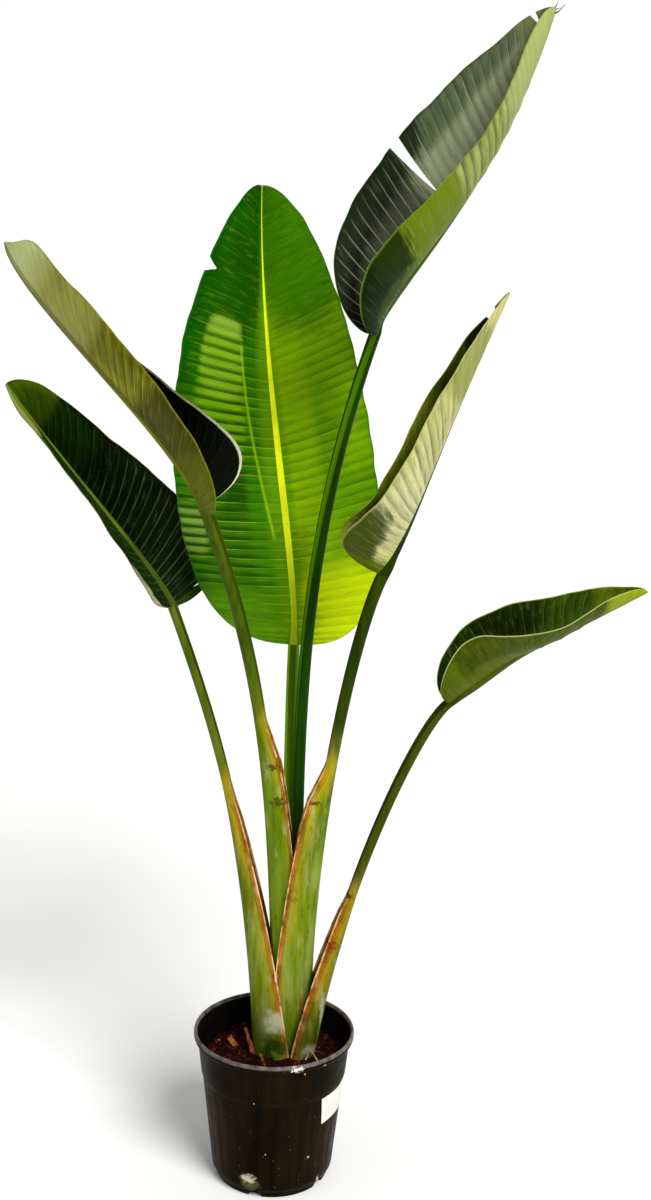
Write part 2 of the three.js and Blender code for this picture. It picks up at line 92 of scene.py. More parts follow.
def pick_vertices(piece, wanted):
    """In edit mode, selects exactly the vertices whose place fits."""
    bpy.ops.object.mode_set(mode="OBJECT")
    chosen = np.array([bool(wanted(vertex.co)) for vertex in piece.data.vertices])
    piece.data.polygons.foreach_set("select", np.zeros(len(piece.data.polygons), bool))
    piece.data.edges.foreach_set("select", np.zeros(len(piece.data.edges), bool))
    piece.data.vertices.foreach_set("select", chosen)
    bpy.ops.object.mode_set(mode="EDIT")
    bpy.ops.mesh.select_mode(type="VERT")
    return int(chosen.sum())


def pick_faces(piece, chosen):
    """In edit mode, selects exactly the faces that are marked."""
    bpy.ops.object.mode_set(mode="EDIT")
    bpy.ops.mesh.select_mode(type="FACE")
    bpy.ops.object.mode_set(mode="OBJECT")
    piece.data.polygons.foreach_set("select", chosen)
    bpy.ops.object.mode_set(mode="EDIT")


# %% Vertex helpers
# Blender starts its vector noise from the clock, so it is seeded here to get the same bumps on every run.
NOISE_SEED = 7
noise.seed_set(NOISE_SEED)


def read_points(piece):
    flat = np.empty(3 * len(piece.data.vertices))
    piece.data.vertices.foreach_get("co", flat)
    return flat.reshape(-1, 3)


def write_points(piece, points):
    piece.data.vertices.foreach_set("co", np.asarray(points, float).ravel())
    piece.data.update()


def roughen(piece, grain, push):
    """Pushes every vertex about, by up to push millimetres; a higher grain makes smaller lumps."""
    points = read_points(piece)
    for point in points:
        point += np.array(noise.noise_vector(Vector(point) * grain)) * push * MM
    write_points(piece, points)


def write_map(piece, name, values):
    """Stores two numbers a vertex as a UV map, for the patterns that follow the surface."""
    layer = piece.data.uv_layers.new(name=name)
    owners = np.empty(len(piece.data.loops), np.int32)
    piece.data.loops.foreach_get("vertex_index", owners)
    layer.data.foreach_set("uv", np.asarray(values, float)[owners].ravel())
    if "UVMap" in piece.data.uv_layers:
        piece.data.uv_layers.remove(piece.data.uv_layers["UVMap"])


# %% Finishing helpers
def apply_all(piece):
    make_active(piece)
    for modifier in [modifier.name for modifier in piece.modifiers]:
        bpy.ops.object.modifier_apply(modifier=modifier)


def smooth(piece, degrees=40):
    make_active(piece)
    bpy.ops.object.shade_smooth_by_angle(angle=math.radians(degrees))


def triangles(piece):
    return sum(len(face.vertices) - 2 for face in piece.data.polygons)


def dress(piece, *finishes):
    piece.data.materials.clear()
    for finish in finishes:
        piece.data.materials.append(finish)


def finish_piece(piece, slot, *nodes):
    """Hangs the piece on the root body and hides the frame nodes it stands for; the slot is not used."""
    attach(piece, "root")
    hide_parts(*nodes)
    print(f"{piece.name}: {triangles(piece)} triangles")


# %% [markdown]
# ## Node helpers
#
# A finish is a small web of nodes. Writing each node in full is long, so a few helpers add one node, feed it
# with numbers or with other nodes, and hand back its output. Colours are given as 0 to 255 values, as read
# on a screen, and turned into the linear light that the renderer works in. Most finishes are built the way
# a painter works: a ground colour first, then one thin layer after another, each laid on through a mask.


# %% Helpers that add one node
def feed(tree, socket, value):
    if isinstance(value, bpy.types.NodeSocket):
        tree.links.new(value, socket)
    elif value is not None:
        socket.default_value = value


def add_node(tree, kind, inputs=None, **settings):
    node = tree.nodes.new(kind)
    for key, value in settings.items():
        setattr(node, key, value)
    for key, value in (inputs or {}).items():
        feed(tree, node.inputs[key], value)
    return node


def calc(tree, operation, first, second=None, third=None):
    node = add_node(tree, "ShaderNodeMath", {0: first}, operation=operation)
    feed(tree, node.inputs[1], second)
    feed(tree, node.inputs[2], third)
    return node.outputs[0]


def vector_calc(tree, operation, first, second=None):
    node = add_node(tree, "ShaderNodeVectorMath", {0: first}, operation=operation)
    feed(tree, node.inputs[1], second)
    return node.outputs


def ramp(tree, value, start, end, low=0.0, high=1.0):
    """A smooth step from low to high while value goes from start to end."""
    inputs = {"Value": value, "From Min": start, "From Max": end, "To Min": low, "To Max": high}
    node = add_node(tree, "ShaderNodeMapRange", inputs, interpolation_type="SMOOTHSTEP")
    return node.outputs["Result"]


def both(tree, first, *others):
    """The product of masks: it is strong only where all of them are."""
    for other in others:
        first = calc(tree, "MULTIPLY", first, other)
    return first


# %% Places and noise
def parts_of(tree, vector):
    return add_node(tree, "ShaderNodeSeparateXYZ", {0: vector}).outputs


def own_map(tree, name):
    """The point of one of the piece's own UV maps."""
    return add_node(tree, "ShaderNodeUVMap", uv_map=name).outputs["UV"]


def own_place(tree, stretch=None):
    """The place on the piece in metres, scaled along its axes where asked."""
    place = add_node(tree, "ShaderNodeTexCoord").outputs["Object"]
    if stretch is None:
        return place
    return add_node(tree, "ShaderNodeMapping", {"Vector": place, "Scale": stretch}).outputs["Vector"]


def noise_at(tree, place, scale, detail=4.0, roughness=0.5):
    inputs = {"Vector": place, "Scale": scale, "Detail": detail, "Roughness": roughness}
    return add_node(tree, "ShaderNodeTexNoise", inputs).outputs["Fac"]


def cloud(tree, scale, detail=3.0, stretch=None):
    """Soft noise on the piece's own coordinates."""
    return noise_at(tree, own_place(tree, stretch), scale, detail, 0.55)


# %% Colours and layers
def paint(red, green, blue):
    linear = [((part / 255 + 0.055) / 1.055) ** 2.4 if part > 10 else part / 255 / 12.92
              for part in (red, green, blue)]
    return (*linear, 1)


def tint(tree, mask, under, over):
    """Colour under, covered by colour over where mask is 1."""
    node = add_node(tree, "ShaderNodeMix", {0: mask, 6: under, 7: over}, data_type="RGBA")
    return node.outputs[2]


def lay(tree, colour, mask, strength, over):
    """Lays the screen colour over on the colour, as thickly as mask times strength says."""
    return tint(tree, both(tree, mask, strength), colour, paint(*over))


# %% Finish helpers
def new_finish(name, roughness=0.5, **constants):
    """A material with one Principled shader, whose plain numbers are set on its own sockets."""
    finish = bpy.data.materials.new(name)
    finish.use_nodes = True
    tree = finish.node_tree
    tree.nodes.clear()
    output = tree.nodes.new("ShaderNodeOutputMaterial")
    shader = tree.nodes.new("ShaderNodeBsdfPrincipled")
    shader.inputs["Roughness"].default_value = roughness
    for key, value in constants.items():
        shader.inputs[key.replace("_", " ")].default_value = value
    tree.links.new(shader.outputs["BSDF"], output.inputs["Surface"])
    return finish, tree, shader


def set_colour(tree, shader, colour, roughness=None):
    feed(tree, shader.inputs["Base Color"], colour)
    feed(tree, shader.inputs["Roughness"], roughness)


def set_bump(tree, shader, height, distance, strength=1.0):
    inputs = {"Height": height, "Distance": distance, "Strength": strength}
    bump = add_node(tree, "ShaderNodeBump", inputs)
    tree.links.new(bump.outputs["Normal"], shader.inputs["Normal"])


# %% [markdown]
# ## Patterns that several finishes share
#
# Soft patches, local marks and the veins of a leaf come back in more than one finish. Each is a node group,
# built once. The veins read a UV map that every blade gets: its first number runs from -1 at the left margin
# over 0 at the midrib to 1 at the right margin, its second counts metres along the blade. Vein lines drawn
# on that map bend with the leaf, which a picture projected on it wouldn't do.


# %% Group helpers
def new_group(name, inputs, outputs):
    group = bpy.data.node_groups.new(name, "ShaderNodeTree")
    for socket, value in inputs.items():
        kind = "NodeSocketVector" if isinstance(value, tuple) else "NodeSocketFloat"
        made = group.interface.new_socket(name=socket, in_out="INPUT", socket_type=kind)
        made.default_value = value
    for socket in outputs:
        group.interface.new_socket(name=socket, in_out="OUTPUT", socket_type="NodeSocketFloat")
    start = group.nodes.new("NodeGroupInput")
    end = group.nodes.new("NodeGroupOutput")
    print("group:", name)
    return group, start.outputs, end.inputs


def use_group(tree, name, output=0, **inputs):
    node = add_node(tree, "ShaderNodeGroup", node_tree=bpy.data.node_groups[name])
    for key, value in inputs.items():
        feed(tree, node.inputs[key.replace("_", " ")], value)
    return node.outputs[output]


# %% Group: patches, soft noise cut off to a mask
group, given, result = new_group(
    "patches", {"Scale": 20.0, "Stretch": (1, 1, 1), "Low": 0.45, "High": 0.6}, ["Mask"])
speckle = noise_at(group, own_place(group, given["Stretch"]), given["Scale"])
group.links.new(ramp(group, speckle, given["Low"], given["High"]), result["Mask"])


def patches(tree, scale, low, high, stretch=(1, 1, 1)):
    return use_group(tree, "patches", Scale=scale, Low=low, High=high, Stretch=stretch)


# %% Group: mark, a ragged spot round a place on the piece
group, given, result = new_group(
    "mark", {"Place": (0, 0, 0), "Size": (0.01, 0.01, 0.01), "Ragged": 0.5, "Grain": 150.0}, ["Mask"])
place = own_place(group)
offset = vector_calc(group, "SUBTRACT", place, given["Place"])[0]
distance = vector_calc(group, "LENGTH", vector_calc(group, "DIVIDE", offset, given["Size"])[0])["Value"]
wander = both(group, calc(group, "SUBTRACT", noise_at(group, place, given["Grain"]), 0.5), given["Ragged"])
edge = calc(group, "MULTIPLY_ADD", wander, 4, distance)
group.links.new(ramp(group, edge, 0.35, 1.15, 1.0, 0.0), result["Mask"])


def lay_marks(tree, colour, marks):
    """Each mark has a place, a size, a colour, a strength and an edge: how ragged and how fine it is."""
    for spot, size, over, strength, (ragged, grain) in marks:
        mask = use_group(tree, "mark", Place=spot, Size=size, Ragged=ragged, Grain=grain)
        colour = lay(tree, colour, mask, strength, over)
    return colour


# %% Group: veins
MAIN_VEIN_SPACING = 15 * MM
FINE_LINES, HAIR_LINES = 5, 16


def stripes(tree, turns, count, width):
    """Soft lines, count to each main vein, that fade out to both sides."""
    share = calc(tree, "FRACT", both(tree, turns, count))
    nearness = calc(tree, "ABSOLUTE", calc(tree, "MULTIPLY_ADD", share, 2, -1))
    return ramp(tree, nearness, calc(tree, "SUBTRACT", 1, width), 1.0)


def lot(tree, number):
    """A number from 0 to 1 drawn for each whole number, so each vein differs from its neighbours."""
    drawn = add_node(tree, "ShaderNodeTexWhiteNoise", {"W": number}, noise_dimensions="1D")
    return drawn.outputs["Value"]


group, given, result = new_group(
    "veins", {"Spacing": MAIN_VEIN_SPACING, "Width": 0.2, "Wander": 0.004},
    ["Main", "Fine", "Slope", "Chance", "Height"])
wobble = both(group, calc(group, "SUBTRACT", cloud(group, 14.0, 2), 0.5), given["Wander"])
along = calc(group, "ADD", parts_of(group, own_map(group, "veins"))["Y"], wobble)
turns = calc(group, "DIVIDE", along, given["Spacing"])
main = stripes(group, turns, 1, given["Width"])
fine = stripes(group, turns, FINE_LINES, 0.7)
hair = stripes(group, turns, HAIR_LINES, 0.8)
strong = ramp(group, lot(group, calc(group, "ROUND", turns)), -0.6, 0.8)
group.links.new(both(group, main, strong), result["Main"])
group.links.new(fine, result["Fine"])
group.links.new(calc(group, "FRACT", turns), result["Slope"])
group.links.new(lot(group, calc(group, "FLOOR", turns)), result["Chance"])
relief = calc(group, "MULTIPLY_ADD", fine, 0.25, main)
group.links.new(calc(group, "MULTIPLY_ADD", hair, 0.12, relief), result["Height"])

# %% Group: streaks, uneven colour drawn out along the veins
group, given, result = new_group("streaks", {"Stretch": (4, 170, 1)}, ["Mask"])
drawn_out = vector_calc(group, "MULTIPLY", own_map(group, "veins"), given["Stretch"])[0]
group.links.new(noise_at(group, drawn_out, 1.0), result["Mask"])


# %% Group: blade zone, a soft oval on the leaf map whose edge is feathered by the streaks
def cubed_share(tree, part, middle, half):
    """How far part lies from the middle, counted in halves of the zone and cubed."""
    share = calc(tree, "DIVIDE", calc(tree, "SUBTRACT", part, middle), half)
    return calc(tree, "POWER", calc(tree, "ABSOLUTE", share), 3)


group, given, result = new_group(
    "blade_zone",
    {"Across": 0.0, "Along": 0.1, "Half Across": 0.2, "Half Along": 0.05, "Soft": 0.5}, ["Mask"])
leaf_map = parts_of(group, own_map(group, "leaf"))
sideways = cubed_share(group, leaf_map["X"], given["Across"], given["Half Across"])
lengthways = cubed_share(group, leaf_map["Y"], given["Along"], given["Half Along"])
reach = calc(group, "ADD", sideways, lengthways)
reach = calc(group, "MULTIPLY_ADD", calc(group, "SUBTRACT", cloud(group, 25.0), 0.5), 0.35, reach)
feathers = calc(group, "SUBTRACT", use_group(group, "streaks"), 0.5)
reach = calc(group, "MULTIPLY_ADD", feathers, 0.9, reach)
inner = calc(group, "SUBTRACT", 1, given["Soft"])
group.links.new(ramp(group, reach, inner, calc(group, "ADD", 1, given["Soft"]), 1.0, 0.0), result["Mask"])

# %% Group: crease, a straight stroke on the leaf map, for a painted highlight
group, given, result = new_group(
    "crease", {"Across": 0.0, "Slant": 0.0, "Start": 0.1, "End": 0.2, "Width": 0.02}, ["Mask"])
leaf_map = parts_of(group, own_map(group, "leaf"))
run = calc(group, "SUBTRACT", leaf_map["Y"], given["Start"])
line = calc(group, "MULTIPLY_ADD", run, given["Slant"], given["Across"])
aside = calc(group, "ABSOLUTE", calc(group, "SUBTRACT", leaf_map["X"], line))
thin = ramp(group, aside, 0.0, given["Width"], 1.0, 0.0)
opened = ramp(group, run, 0.0, 0.02)
closed = ramp(group, leaf_map["Y"], calc(group, "SUBTRACT", given["End"], 0.01), given["End"], 1.0, 0.0)
group.links.new(both(group, thin, opened, closed), result["Mask"])

# %% [markdown]
# ## The pot
#
# A grow pot is blow moulded: a thin tapering wall with faint vertical flutes, a collar, a rolled lip, a
# recessed floor and arched drain openings in its bottom corner. It could be a spun profile, but growing it
# ring by ring from a circle is as quick and lets each ring be named: extrude, lift, resize, again and again.
# The flutes are pressed in afterwards, and a boolean cuts the drains.

# %% Pot profile, in millimetres
POT_SIDES = 240
# Radius and height of each ring, from the middle of the underside over the lip to the inner floor.
POT_UNDER = [(42, 0), (43, 0.5), (44, 1.2), (60, 1.2), (61, 0.6), (62, 0), (85, 0), (87.2, 0.8), (88.5, 3)]
POT_CORNER = [(89.2, 6), (90.2, 9.6), (92.6, 13), (94.2, 16), (95.1, 20), (95.6, 24)]
WALL_FOOT, WALL_WIDENS, WALL_CLIMBS, WALL_RINGS = (95.6, 24), 14.2, 136, 16
POT_WALL = [(WALL_FOOT[0] + WALL_WIDENS * ring / WALL_RINGS, WALL_FOOT[1] + WALL_CLIMBS * ring / WALL_RINGS)
            for ring in range(1, WALL_RINGS + 1)]
POT_COLLAR = [(110.2, 166), (110.5, 168.5), (112.3, 173), (113, 175.5), (114.2, 187), (116.4, 208)]
POT_LIP = [(118.3, 227.5), (118.9, 229.2), (121.6, 229.9), (123.8, 231.4), (124.8, 234), (125, 237),
           (124.8, 240), (124.1, 242.1), (122.8, 243), (121.4, 242.8), (120.6, 241.6), (119.6, 238)]
POT_INSIDE = [(116.2, 229), (114, 205), (110.9, 176.5), (108.4, 171), (107.9, 168), (100, 92),
              (92.6, 18), (88, 7), (80, 2.8), (40, 2.8)]
print("pot rings:", sum(map(len, (POT_UNDER, POT_CORNER, POT_WALL, POT_COLLAR, POT_LIP, POT_INSIDE))))


# %% Ring grower
def grow_rings(rings, start):
    """From the selected ring, extrudes one ring after another to each radius and height."""
    radius, height = start
    for next_radius, next_height in rings:
        lift = (0, 0, (next_height - height) * MM)
        bpy.ops.mesh.extrude_edges_move(TRANSFORM_OT_translate={"value": lift})
        widen = next_radius / radius
        bpy.ops.transform.resize(value=(widen, widen, 1), center_override=(0, 0, 0))
        radius, height = next_radius, next_height


# %% Pot shell
HEIGHT_SLACK, RADIUS_SLACK = 0.01 * MM, 0.1 * MM
deselect_all()
bpy.ops.mesh.primitive_circle_add(vertices=POT_SIDES, radius=POT_UNDER[0][0] * MM, fill_type="NGON")
pot = name_piece("pot_shell")
bpy.ops.object.mode_set(mode="EDIT")
bpy.ops.mesh.select_all(action="SELECT")
grow_rings(POT_UNDER[1:] + POT_CORNER + POT_WALL + POT_COLLAR + POT_LIP + POT_INSIDE, POT_UNDER[0])
bpy.ops.mesh.select_all(action="DESELECT")
last_radius, last_height = POT_INSIDE[-1]
picked = pick_vertices(pot, lambda co: abs(co.z - last_height * MM) < HEIGHT_SLACK
                       and abs(co.xy.length - last_radius * MM) < RADIUS_SLACK)
bpy.ops.mesh.edge_face_add()
bpy.ops.mesh.select_all(action="SELECT")
bpy.ops.mesh.normals_make_consistent(inside=False)
bpy.ops.object.mode_set(mode="OBJECT")
print("pot rings closed with", picked, "corners;", len(pot.data.vertices), "vertices")

# %% Flutes
FLUTES, FLUTE_DEPTH = 30, 0.55
FLUTE_BOTTOM, FLUTE_TOP = 22, 166
MID_WALL = [18, 168], [93.6, 109.0]
points = read_points(pot)
radii = np.hypot(points[:, 0], points[:, 1])
angles = np.arctan2(points[:, 1], points[:, 0])
heights = points[:, 2] / MM
fade = np.clip((heights - FLUTE_BOTTOM) / 10, 0, 1) * np.clip((FLUTE_TOP - heights) / 8, 0, 1)
outside = radii > np.interp(heights, *MID_WALL) * MM
groove = np.clip(0.5 - 0.5 * np.cos(FLUTES * angles), 0, 1) ** 2
pressed = FLUTE_DEPTH * MM * groove * fade * outside
points[:, 0] -= pressed * np.cos(angles)
points[:, 1] -= pressed * np.sin(angles)
write_points(pot, points)
print("flutes pressed in", int((pressed > 0).sum()), "vertices")

# %% Drains
DRAIN_RADIUS, DRAIN_START, DRAIN_LENGTH, DRAIN_AXIS = 11, 77, 30, 2
FIRST_DRAIN, DRAINS = -105, 5
cutters = []
for index in range(DRAINS):
    angle = math.radians(FIRST_DRAIN + 360 * index / DRAINS)
    reach = (DRAIN_START + DRAIN_LENGTH / 2) * MM
    deselect_all()
    bpy.ops.mesh.primitive_cylinder_add(
        vertices=32, radius=DRAIN_RADIUS * MM, depth=DRAIN_LENGTH * MM,
        location=(reach * math.cos(angle), reach * math.sin(angle), DRAIN_AXIS * MM),
        rotation=(0, math.radians(90), angle))
    cutters.append(bpy.context.object)
cutter = join_pieces(cutters, "drain_cutter")
cut = pot.modifiers.new("drains", "BOOLEAN")
cut.object = cutter
cut.solver = "EXACT"
apply_all(pot)
bpy.data.objects.remove(cutter)
smooth(pot, 35)
print("drains cut:", DRAINS)

# %% [markdown]
# ## Pot plastic
#
# The plastic is a warm near-black with a half gloss, with painted brown reflections low on its left and right
# sides. On top of that lie a grey band on the lip, a painted highlight with worn patches in it, and what
# makes
# it a used pot: pale scuffs on the rim, thin streaks down the wall where water ran, dusty specks, and a
# yellowish crust of minerals round the front left drain. They could be painted on an image, but an image
# has one sharpness, while masks made of noise stay crisp from near and far. So each is a layer on the black.

# %% Pot palette, as red, green and blue on a screen
POT_BLACK, POT_WARM, POT_SIDE_REFLECTION, POT_DUST = (11, 8, 2), (24, 14, 3), (44, 25, 5), (46, 34, 16)
LIP_HIGHLIGHT, LIP_WORN_HIGHLIGHT, RIM_SCUFF = (72, 63, 59), (150, 142, 136), (232, 226, 214)
GRIT, CHIP, CRUST, CRUST_CORE = (120, 112, 95), (205, 200, 188), (96, 92, 52), (206, 200, 166)
SCUFF_PLACE, SCUFF_SIZE = (0.0386, -0.118, 0.2375), (0.012, 0.02, 0.006)
POT_MARKS = [
    ((-0.028, -0.09, 0.024), (0.019, 0.03, 0.014), CRUST, 0.6, (0.35, 90.0)),
    ((-0.034, -0.09, 0.034), (0.013, 0.03, 0.009), CRUST_CORE, 0.85, (0.5, 160.0)),
]
POT_CHIPS = [
    ((-0.0255, -0.105, 0.174), (0.0012, 0.02, 0.0016)), ((-0.007, -0.098, 0.083), (0.0013, 0.02, 0.0018)),
    ((0.0728, -0.055, 0.018), (0.002, 0.02, 0.006)), ((0.0507, -0.11, 0.224), (0.0014, 0.02, 0.002)),
    ((0.0579, -0.08, 0.068), (0.002, 0.02, 0.003)), ((0.0806, -0.095, 0.2325), (0.0022, 0.02, 0.0016)),
]
POT_MARKS += [(spot, size, CHIP, 0.8, (0.3, 150.0)) for spot, size in POT_CHIPS]

# %% Pot finish: plastic, water stains, painted side reflections and dust
black, tree, shader = new_finish(
    "pot_black_plastic", 0.4, Specular_IOR_Level=0.022, Specular_Tint=(1, 0.82, 0.56, 1))
place = own_place(tree)
height = parts_of(tree, place)["Z"]
aside = calc(tree, "ABSOLUTE", parts_of(tree, place)["X"])
colour = tint(tree, patches(tree, 60.0, 0.42, 0.7, (1, 1, 0.04)), paint(*POT_BLACK), paint(*POT_WARM))
# Painted reflections: brown on the wall's left and right sides, strongest below 12 cm and gone above 20 cm.
brown = both(tree, ramp(tree, aside, 0.045, 0.1), ramp(tree, height, 0.2, 0.12))
colour = lay(tree, colour, brown, 0.6, POT_SIDE_REFLECTION)
colour = lay(tree, colour, patches(tree, 14.0, 0.4, 0.75, (1, 1, 0.5)), 0.25, POT_DUST)

# %% Pot finish: painted highlight on the lip, scuffs, grit and crust
# Painted highlight: the top of the lip is laid grey, brighter in worn patches.
lip = ramp(tree, height, 0.2365, 0.2395)
colour = lay(tree, colour, lip, 0.85, LIP_HIGHLIGHT)
colour = lay(tree, colour, both(tree, lip, patches(tree, 70.0, 0.25, 0.7)), 0.5, LIP_WORN_HIGHLIGHT)
near_rim = use_group(tree, "mark", Place=SCUFF_PLACE, Size=SCUFF_SIZE, Ragged=0.7)
scuffed = both(tree, near_rim, ramp(tree, cloud(tree, 260.0), 0.42, 0.52))
colour = lay(tree, colour, scuffed, 1.0, RIM_SCUFF)
cells = add_node(tree, "ShaderNodeTexVoronoi", {"Vector": place, "Scale": 130.0})
chosen = ramp(tree, parts_of(tree, cells.outputs["Color"])["X"], 0.6, 0.65)
grit = both(tree, ramp(tree, cells.outputs["Distance"], 0.2, 0.08), chosen, ramp(tree, height, 0.23, 0.1))
colour = lay(tree, colour, grit, 0.3, GRIT)
colour = lay_marks(tree, colour, POT_MARKS)
set_colour(tree, shader, colour, ramp(tree, cloud(tree, 45.0), 0.3, 0.7, 0.3, 0.46))
set_bump(tree, shader, cloud(tree, 320.0, 4, (1, 1, 0.3)), 0.0006, 0.5)
print("pot marks:", len(POT_MARKS))

# %% Inner wall finish
FLOOR_TOP, LIP_START = 0.0028, 0.237
inner, tree, shader = new_finish("pot_inner_wall", 0.5, Specular_IOR_Level=0.04)
set_colour(tree, shader, tint(tree, patches(tree, 30.0, 0.4, 0.7), paint(9, 8, 7), paint(20, 15, 10)))
set_bump(tree, shader, cloud(tree, 320.0), 0.0004, 0.4)
dress(pot, black, inner)
inner_faces = [face for face in pot.data.polygons if face.center.xy.dot(face.normal.xy) < 0
               and FLOOR_TOP < face.center.z < LIP_START]
for face in inner_faces:
    face.material_index = 1
print("inner wall faces:", len(inner_faces))
finish_piece(pot, "pot_plastic", "pot")

# %% [markdown]
# ## The label
#
# A small blank sticker on the wall. It could be cut out of a copy of the wall, but its corners have to stay
# at measured angles. So a flat grid is wrapped round the wall in code, with a slight wrinkle, and Solidify
# gives it the thickness of paper.

# %% Label
LABEL_LEFT, LABEL_RIGHT = ((-43.5, -46), (121, 167)), ((-12, -11), (126, 170))
LABEL_PROUD, PAPER = 1.0, 0.6
deselect_all()
bpy.ops.mesh.primitive_grid_add(x_subdivisions=24, y_subdivisions=16, size=1)
label = name_piece("blank_label")
flat = read_points(label)
share_x = flat[:, 0] + 0.5
share_y = flat[:, 1] + 0.5
left_edge = [np.interp(share_y, (0, 1), pair) for pair in LABEL_LEFT]
right_edge = [np.interp(share_y, (0, 1), pair) for pair in LABEL_RIGHT]
turn = np.radians(left_edge[0] * (1 - share_x) + right_edge[0] * share_x)
rise = left_edge[1] * (1 - share_x) + right_edge[1] * share_x
wall = np.interp(rise, [24, 160, 168.5], [95.6, 109.8, 110.5])
wrinkle = 0.12 * np.sin(9 * flat[:, 0] + 14 * flat[:, 1]) + 0.08 * np.sin(31 * flat[:, 1] - 8 * flat[:, 0])
radius = wall + LABEL_PROUD + wrinkle
write_points(label, MM * np.stack([radius * np.cos(turn), radius * np.sin(turn), rise], axis=1))
sheet = label.modifiers.new("paper", "SOLIDIFY")
sheet.thickness = PAPER * MM
sheet.offset = -1
apply_all(label)
smooth(label, 40)

# %% Label finish
paper, tree, shader = new_finish("label_paper", 0.55)
soiled = patches(tree, 40.0, 0.45, 0.75)
set_colour(tree, shader, lay(tree, paint(224, 225, 219), soiled, 0.35, (200, 199, 190)))
set_bump(tree, shader, cloud(tree, 900.0), 0.0001, 0.4)
dress(label, paper)
finish_piece(label, "label_paper", "label")

# %% [markdown]
# ## The potting mix
#
# The mix is a plug that fills the pot, with a rough top of dark bark and peat. A displaced cube would do, but
# its corners wouldn't meet the round wall. So its top is grown from a small circle in many rings, as the pot
# was, and the vertices are then lifted into hills and lumps. A height function says how high, because all
# that lies on the mix has to ask for it too.

# %% Mix heights, in millimetres
MIX_LEVEL, MIX_EDGE = 198, 109.0
MOUND, MOUND_SPREAD = 6, 65
BRIM_START, BRIM_WIDTH, BRIM_DROP = 100, 9, 4


def mix_height(x, y):
    """Top of the mix over the floor: waves and lumps, a mound in the middle and a lower brim."""
    waves = 2.6 * math.sin(x / 11 + 1) * math.cos(y / 13) + 1.4 * math.sin(x / 5 - y / 7)
    lumps = 2.2 * noise.noise(Vector((x / 7, y / 7, 3))) + 1.3 * noise.noise(Vector((x / 2.6, y / 2.6, 8)))
    brim = max(0, (math.hypot(x, y) - BRIM_START) / BRIM_WIDTH) * BRIM_DROP
    mound = MOUND * math.exp(-(x * x + y * y) / MOUND_SPREAD ** 2)
    return MIX_LEVEL + waves + lumps + mound - brim


# %% Mix plug
MIX_SIDES, MIX_RINGS = 180, 44
MIX_WALL = [(107, 170), (92.1, 19), (80, 3.2)]
deselect_all()
first = MIX_EDGE / MIX_RINGS
bpy.ops.mesh.primitive_circle_add(vertices=MIX_SIDES, radius=first * MM, fill_type="TRIFAN",
                                  location=(0, 0, MIX_LEVEL * MM))
mix = name_piece("potting_mix")
bpy.ops.object.transform_apply(location=True)
bpy.ops.object.mode_set(mode="EDIT")
bpy.ops.mesh.select_all(action="SELECT")
bpy.ops.mesh.region_to_loop()
grow_rings([(first * ring, MIX_LEVEL) for ring in range(2, MIX_RINGS + 1)], (first, MIX_LEVEL))
grow_rings(MIX_WALL, (MIX_EDGE, MIX_LEVEL))
bpy.ops.mesh.edge_face_add()
bpy.ops.mesh.select_all(action="SELECT")
bpy.ops.mesh.normals_make_consistent(inside=False)
bpy.ops.object.mode_set(mode="OBJECT")
points = read_points(mix)
for point in points:
    if point[2] > (MIX_LEVEL - 1) * MM:
        point[2] = mix_height(point[0] / MM, point[1] / MM) * MM
write_points(mix, points)
smooth(mix, 60)
print("highest point of the mix:", round(points[:, 2].max() / MM, 1), "mm")

# %% Mix finish
peat, tree, shader = new_finish("damp_mix", 0.8, Specular_IOR_Level=0.05)
colour = tint(tree, patches(tree, 260.0, 0.42, 0.62), paint(14, 4, 4), paint(50, 13, 8))
colour = lay(tree, colour, patches(tree, 38.0, 0.35, 0.7), 0.55, (28, 7, 5))
set_colour(tree, shader, colour)
set_bump(tree, shader, cloud(tree, 420.0, 6), 0.0016)
dress(mix, peat)
finish_piece(mix, "potting_mix", "soil")

# %% [markdown]
# ## Crumbs, chips and flecks
#
# Loose bits of bark lie on the mix. Particles could strew them, but copies placed in code are the same on
# every run and can be counted. One crumb of each kind is modelled, a ball pushed in and out by noise, and
# each copy gets its own mesh, turn and size before all are joined to one piece.

# %% Crumb makers
draw = random.Random(7)


def rough_lump(size, seed, levels=2):
    """A bark crumb: a ball pushed in and out, then squeezed to its size."""
    deselect_all()
    bpy.ops.mesh.primitive_ico_sphere_add(subdivisions=levels, radius=0.5)
    lump = name_piece("crumb_model")
    points = read_points(lump)
    push = [1 + 0.6 * noise.noise(Vector(point) * 3 + Vector((seed, 0, 0))) for point in points]
    write_points(lump, points * np.array(push)[:, None] * np.array(size) * MM)
    return lump


def scatter(name, models, count, spread, sizes, sink, tilt=0.6):
    """Copies of the models on the mix, between two distances from the middle, joined to one piece."""
    copies = []
    for index in range(count):
        model = models[index % len(models)]
        angle = draw.uniform(0, 2 * math.pi)
        distance = math.sqrt(draw.uniform(spread[0] ** 2, spread[1] ** 2))
        x = distance * math.cos(angle)
        y = distance * math.sin(angle)
        size = draw.uniform(*sizes)
        copy = model.copy()
        copy.data = model.data.copy()
        bpy.context.scene.collection.objects.link(copy)
        copy.rotation_euler = (draw.uniform(-tilt, tilt), draw.uniform(-tilt, tilt), draw.uniform(0, 6.28))
        copy.scale = (size, size, size)
        copy.location = (x * MM, y * MM, (mix_height(x, y) + sink * size) * MM)
        copies.append(copy)
    piece = join_pieces(copies, name)
    bpy.ops.object.transform_apply(location=True, rotation=True, scale=True)
    for model in models:
        bpy.data.objects.remove(model)
    smooth(piece, 30)
    return piece


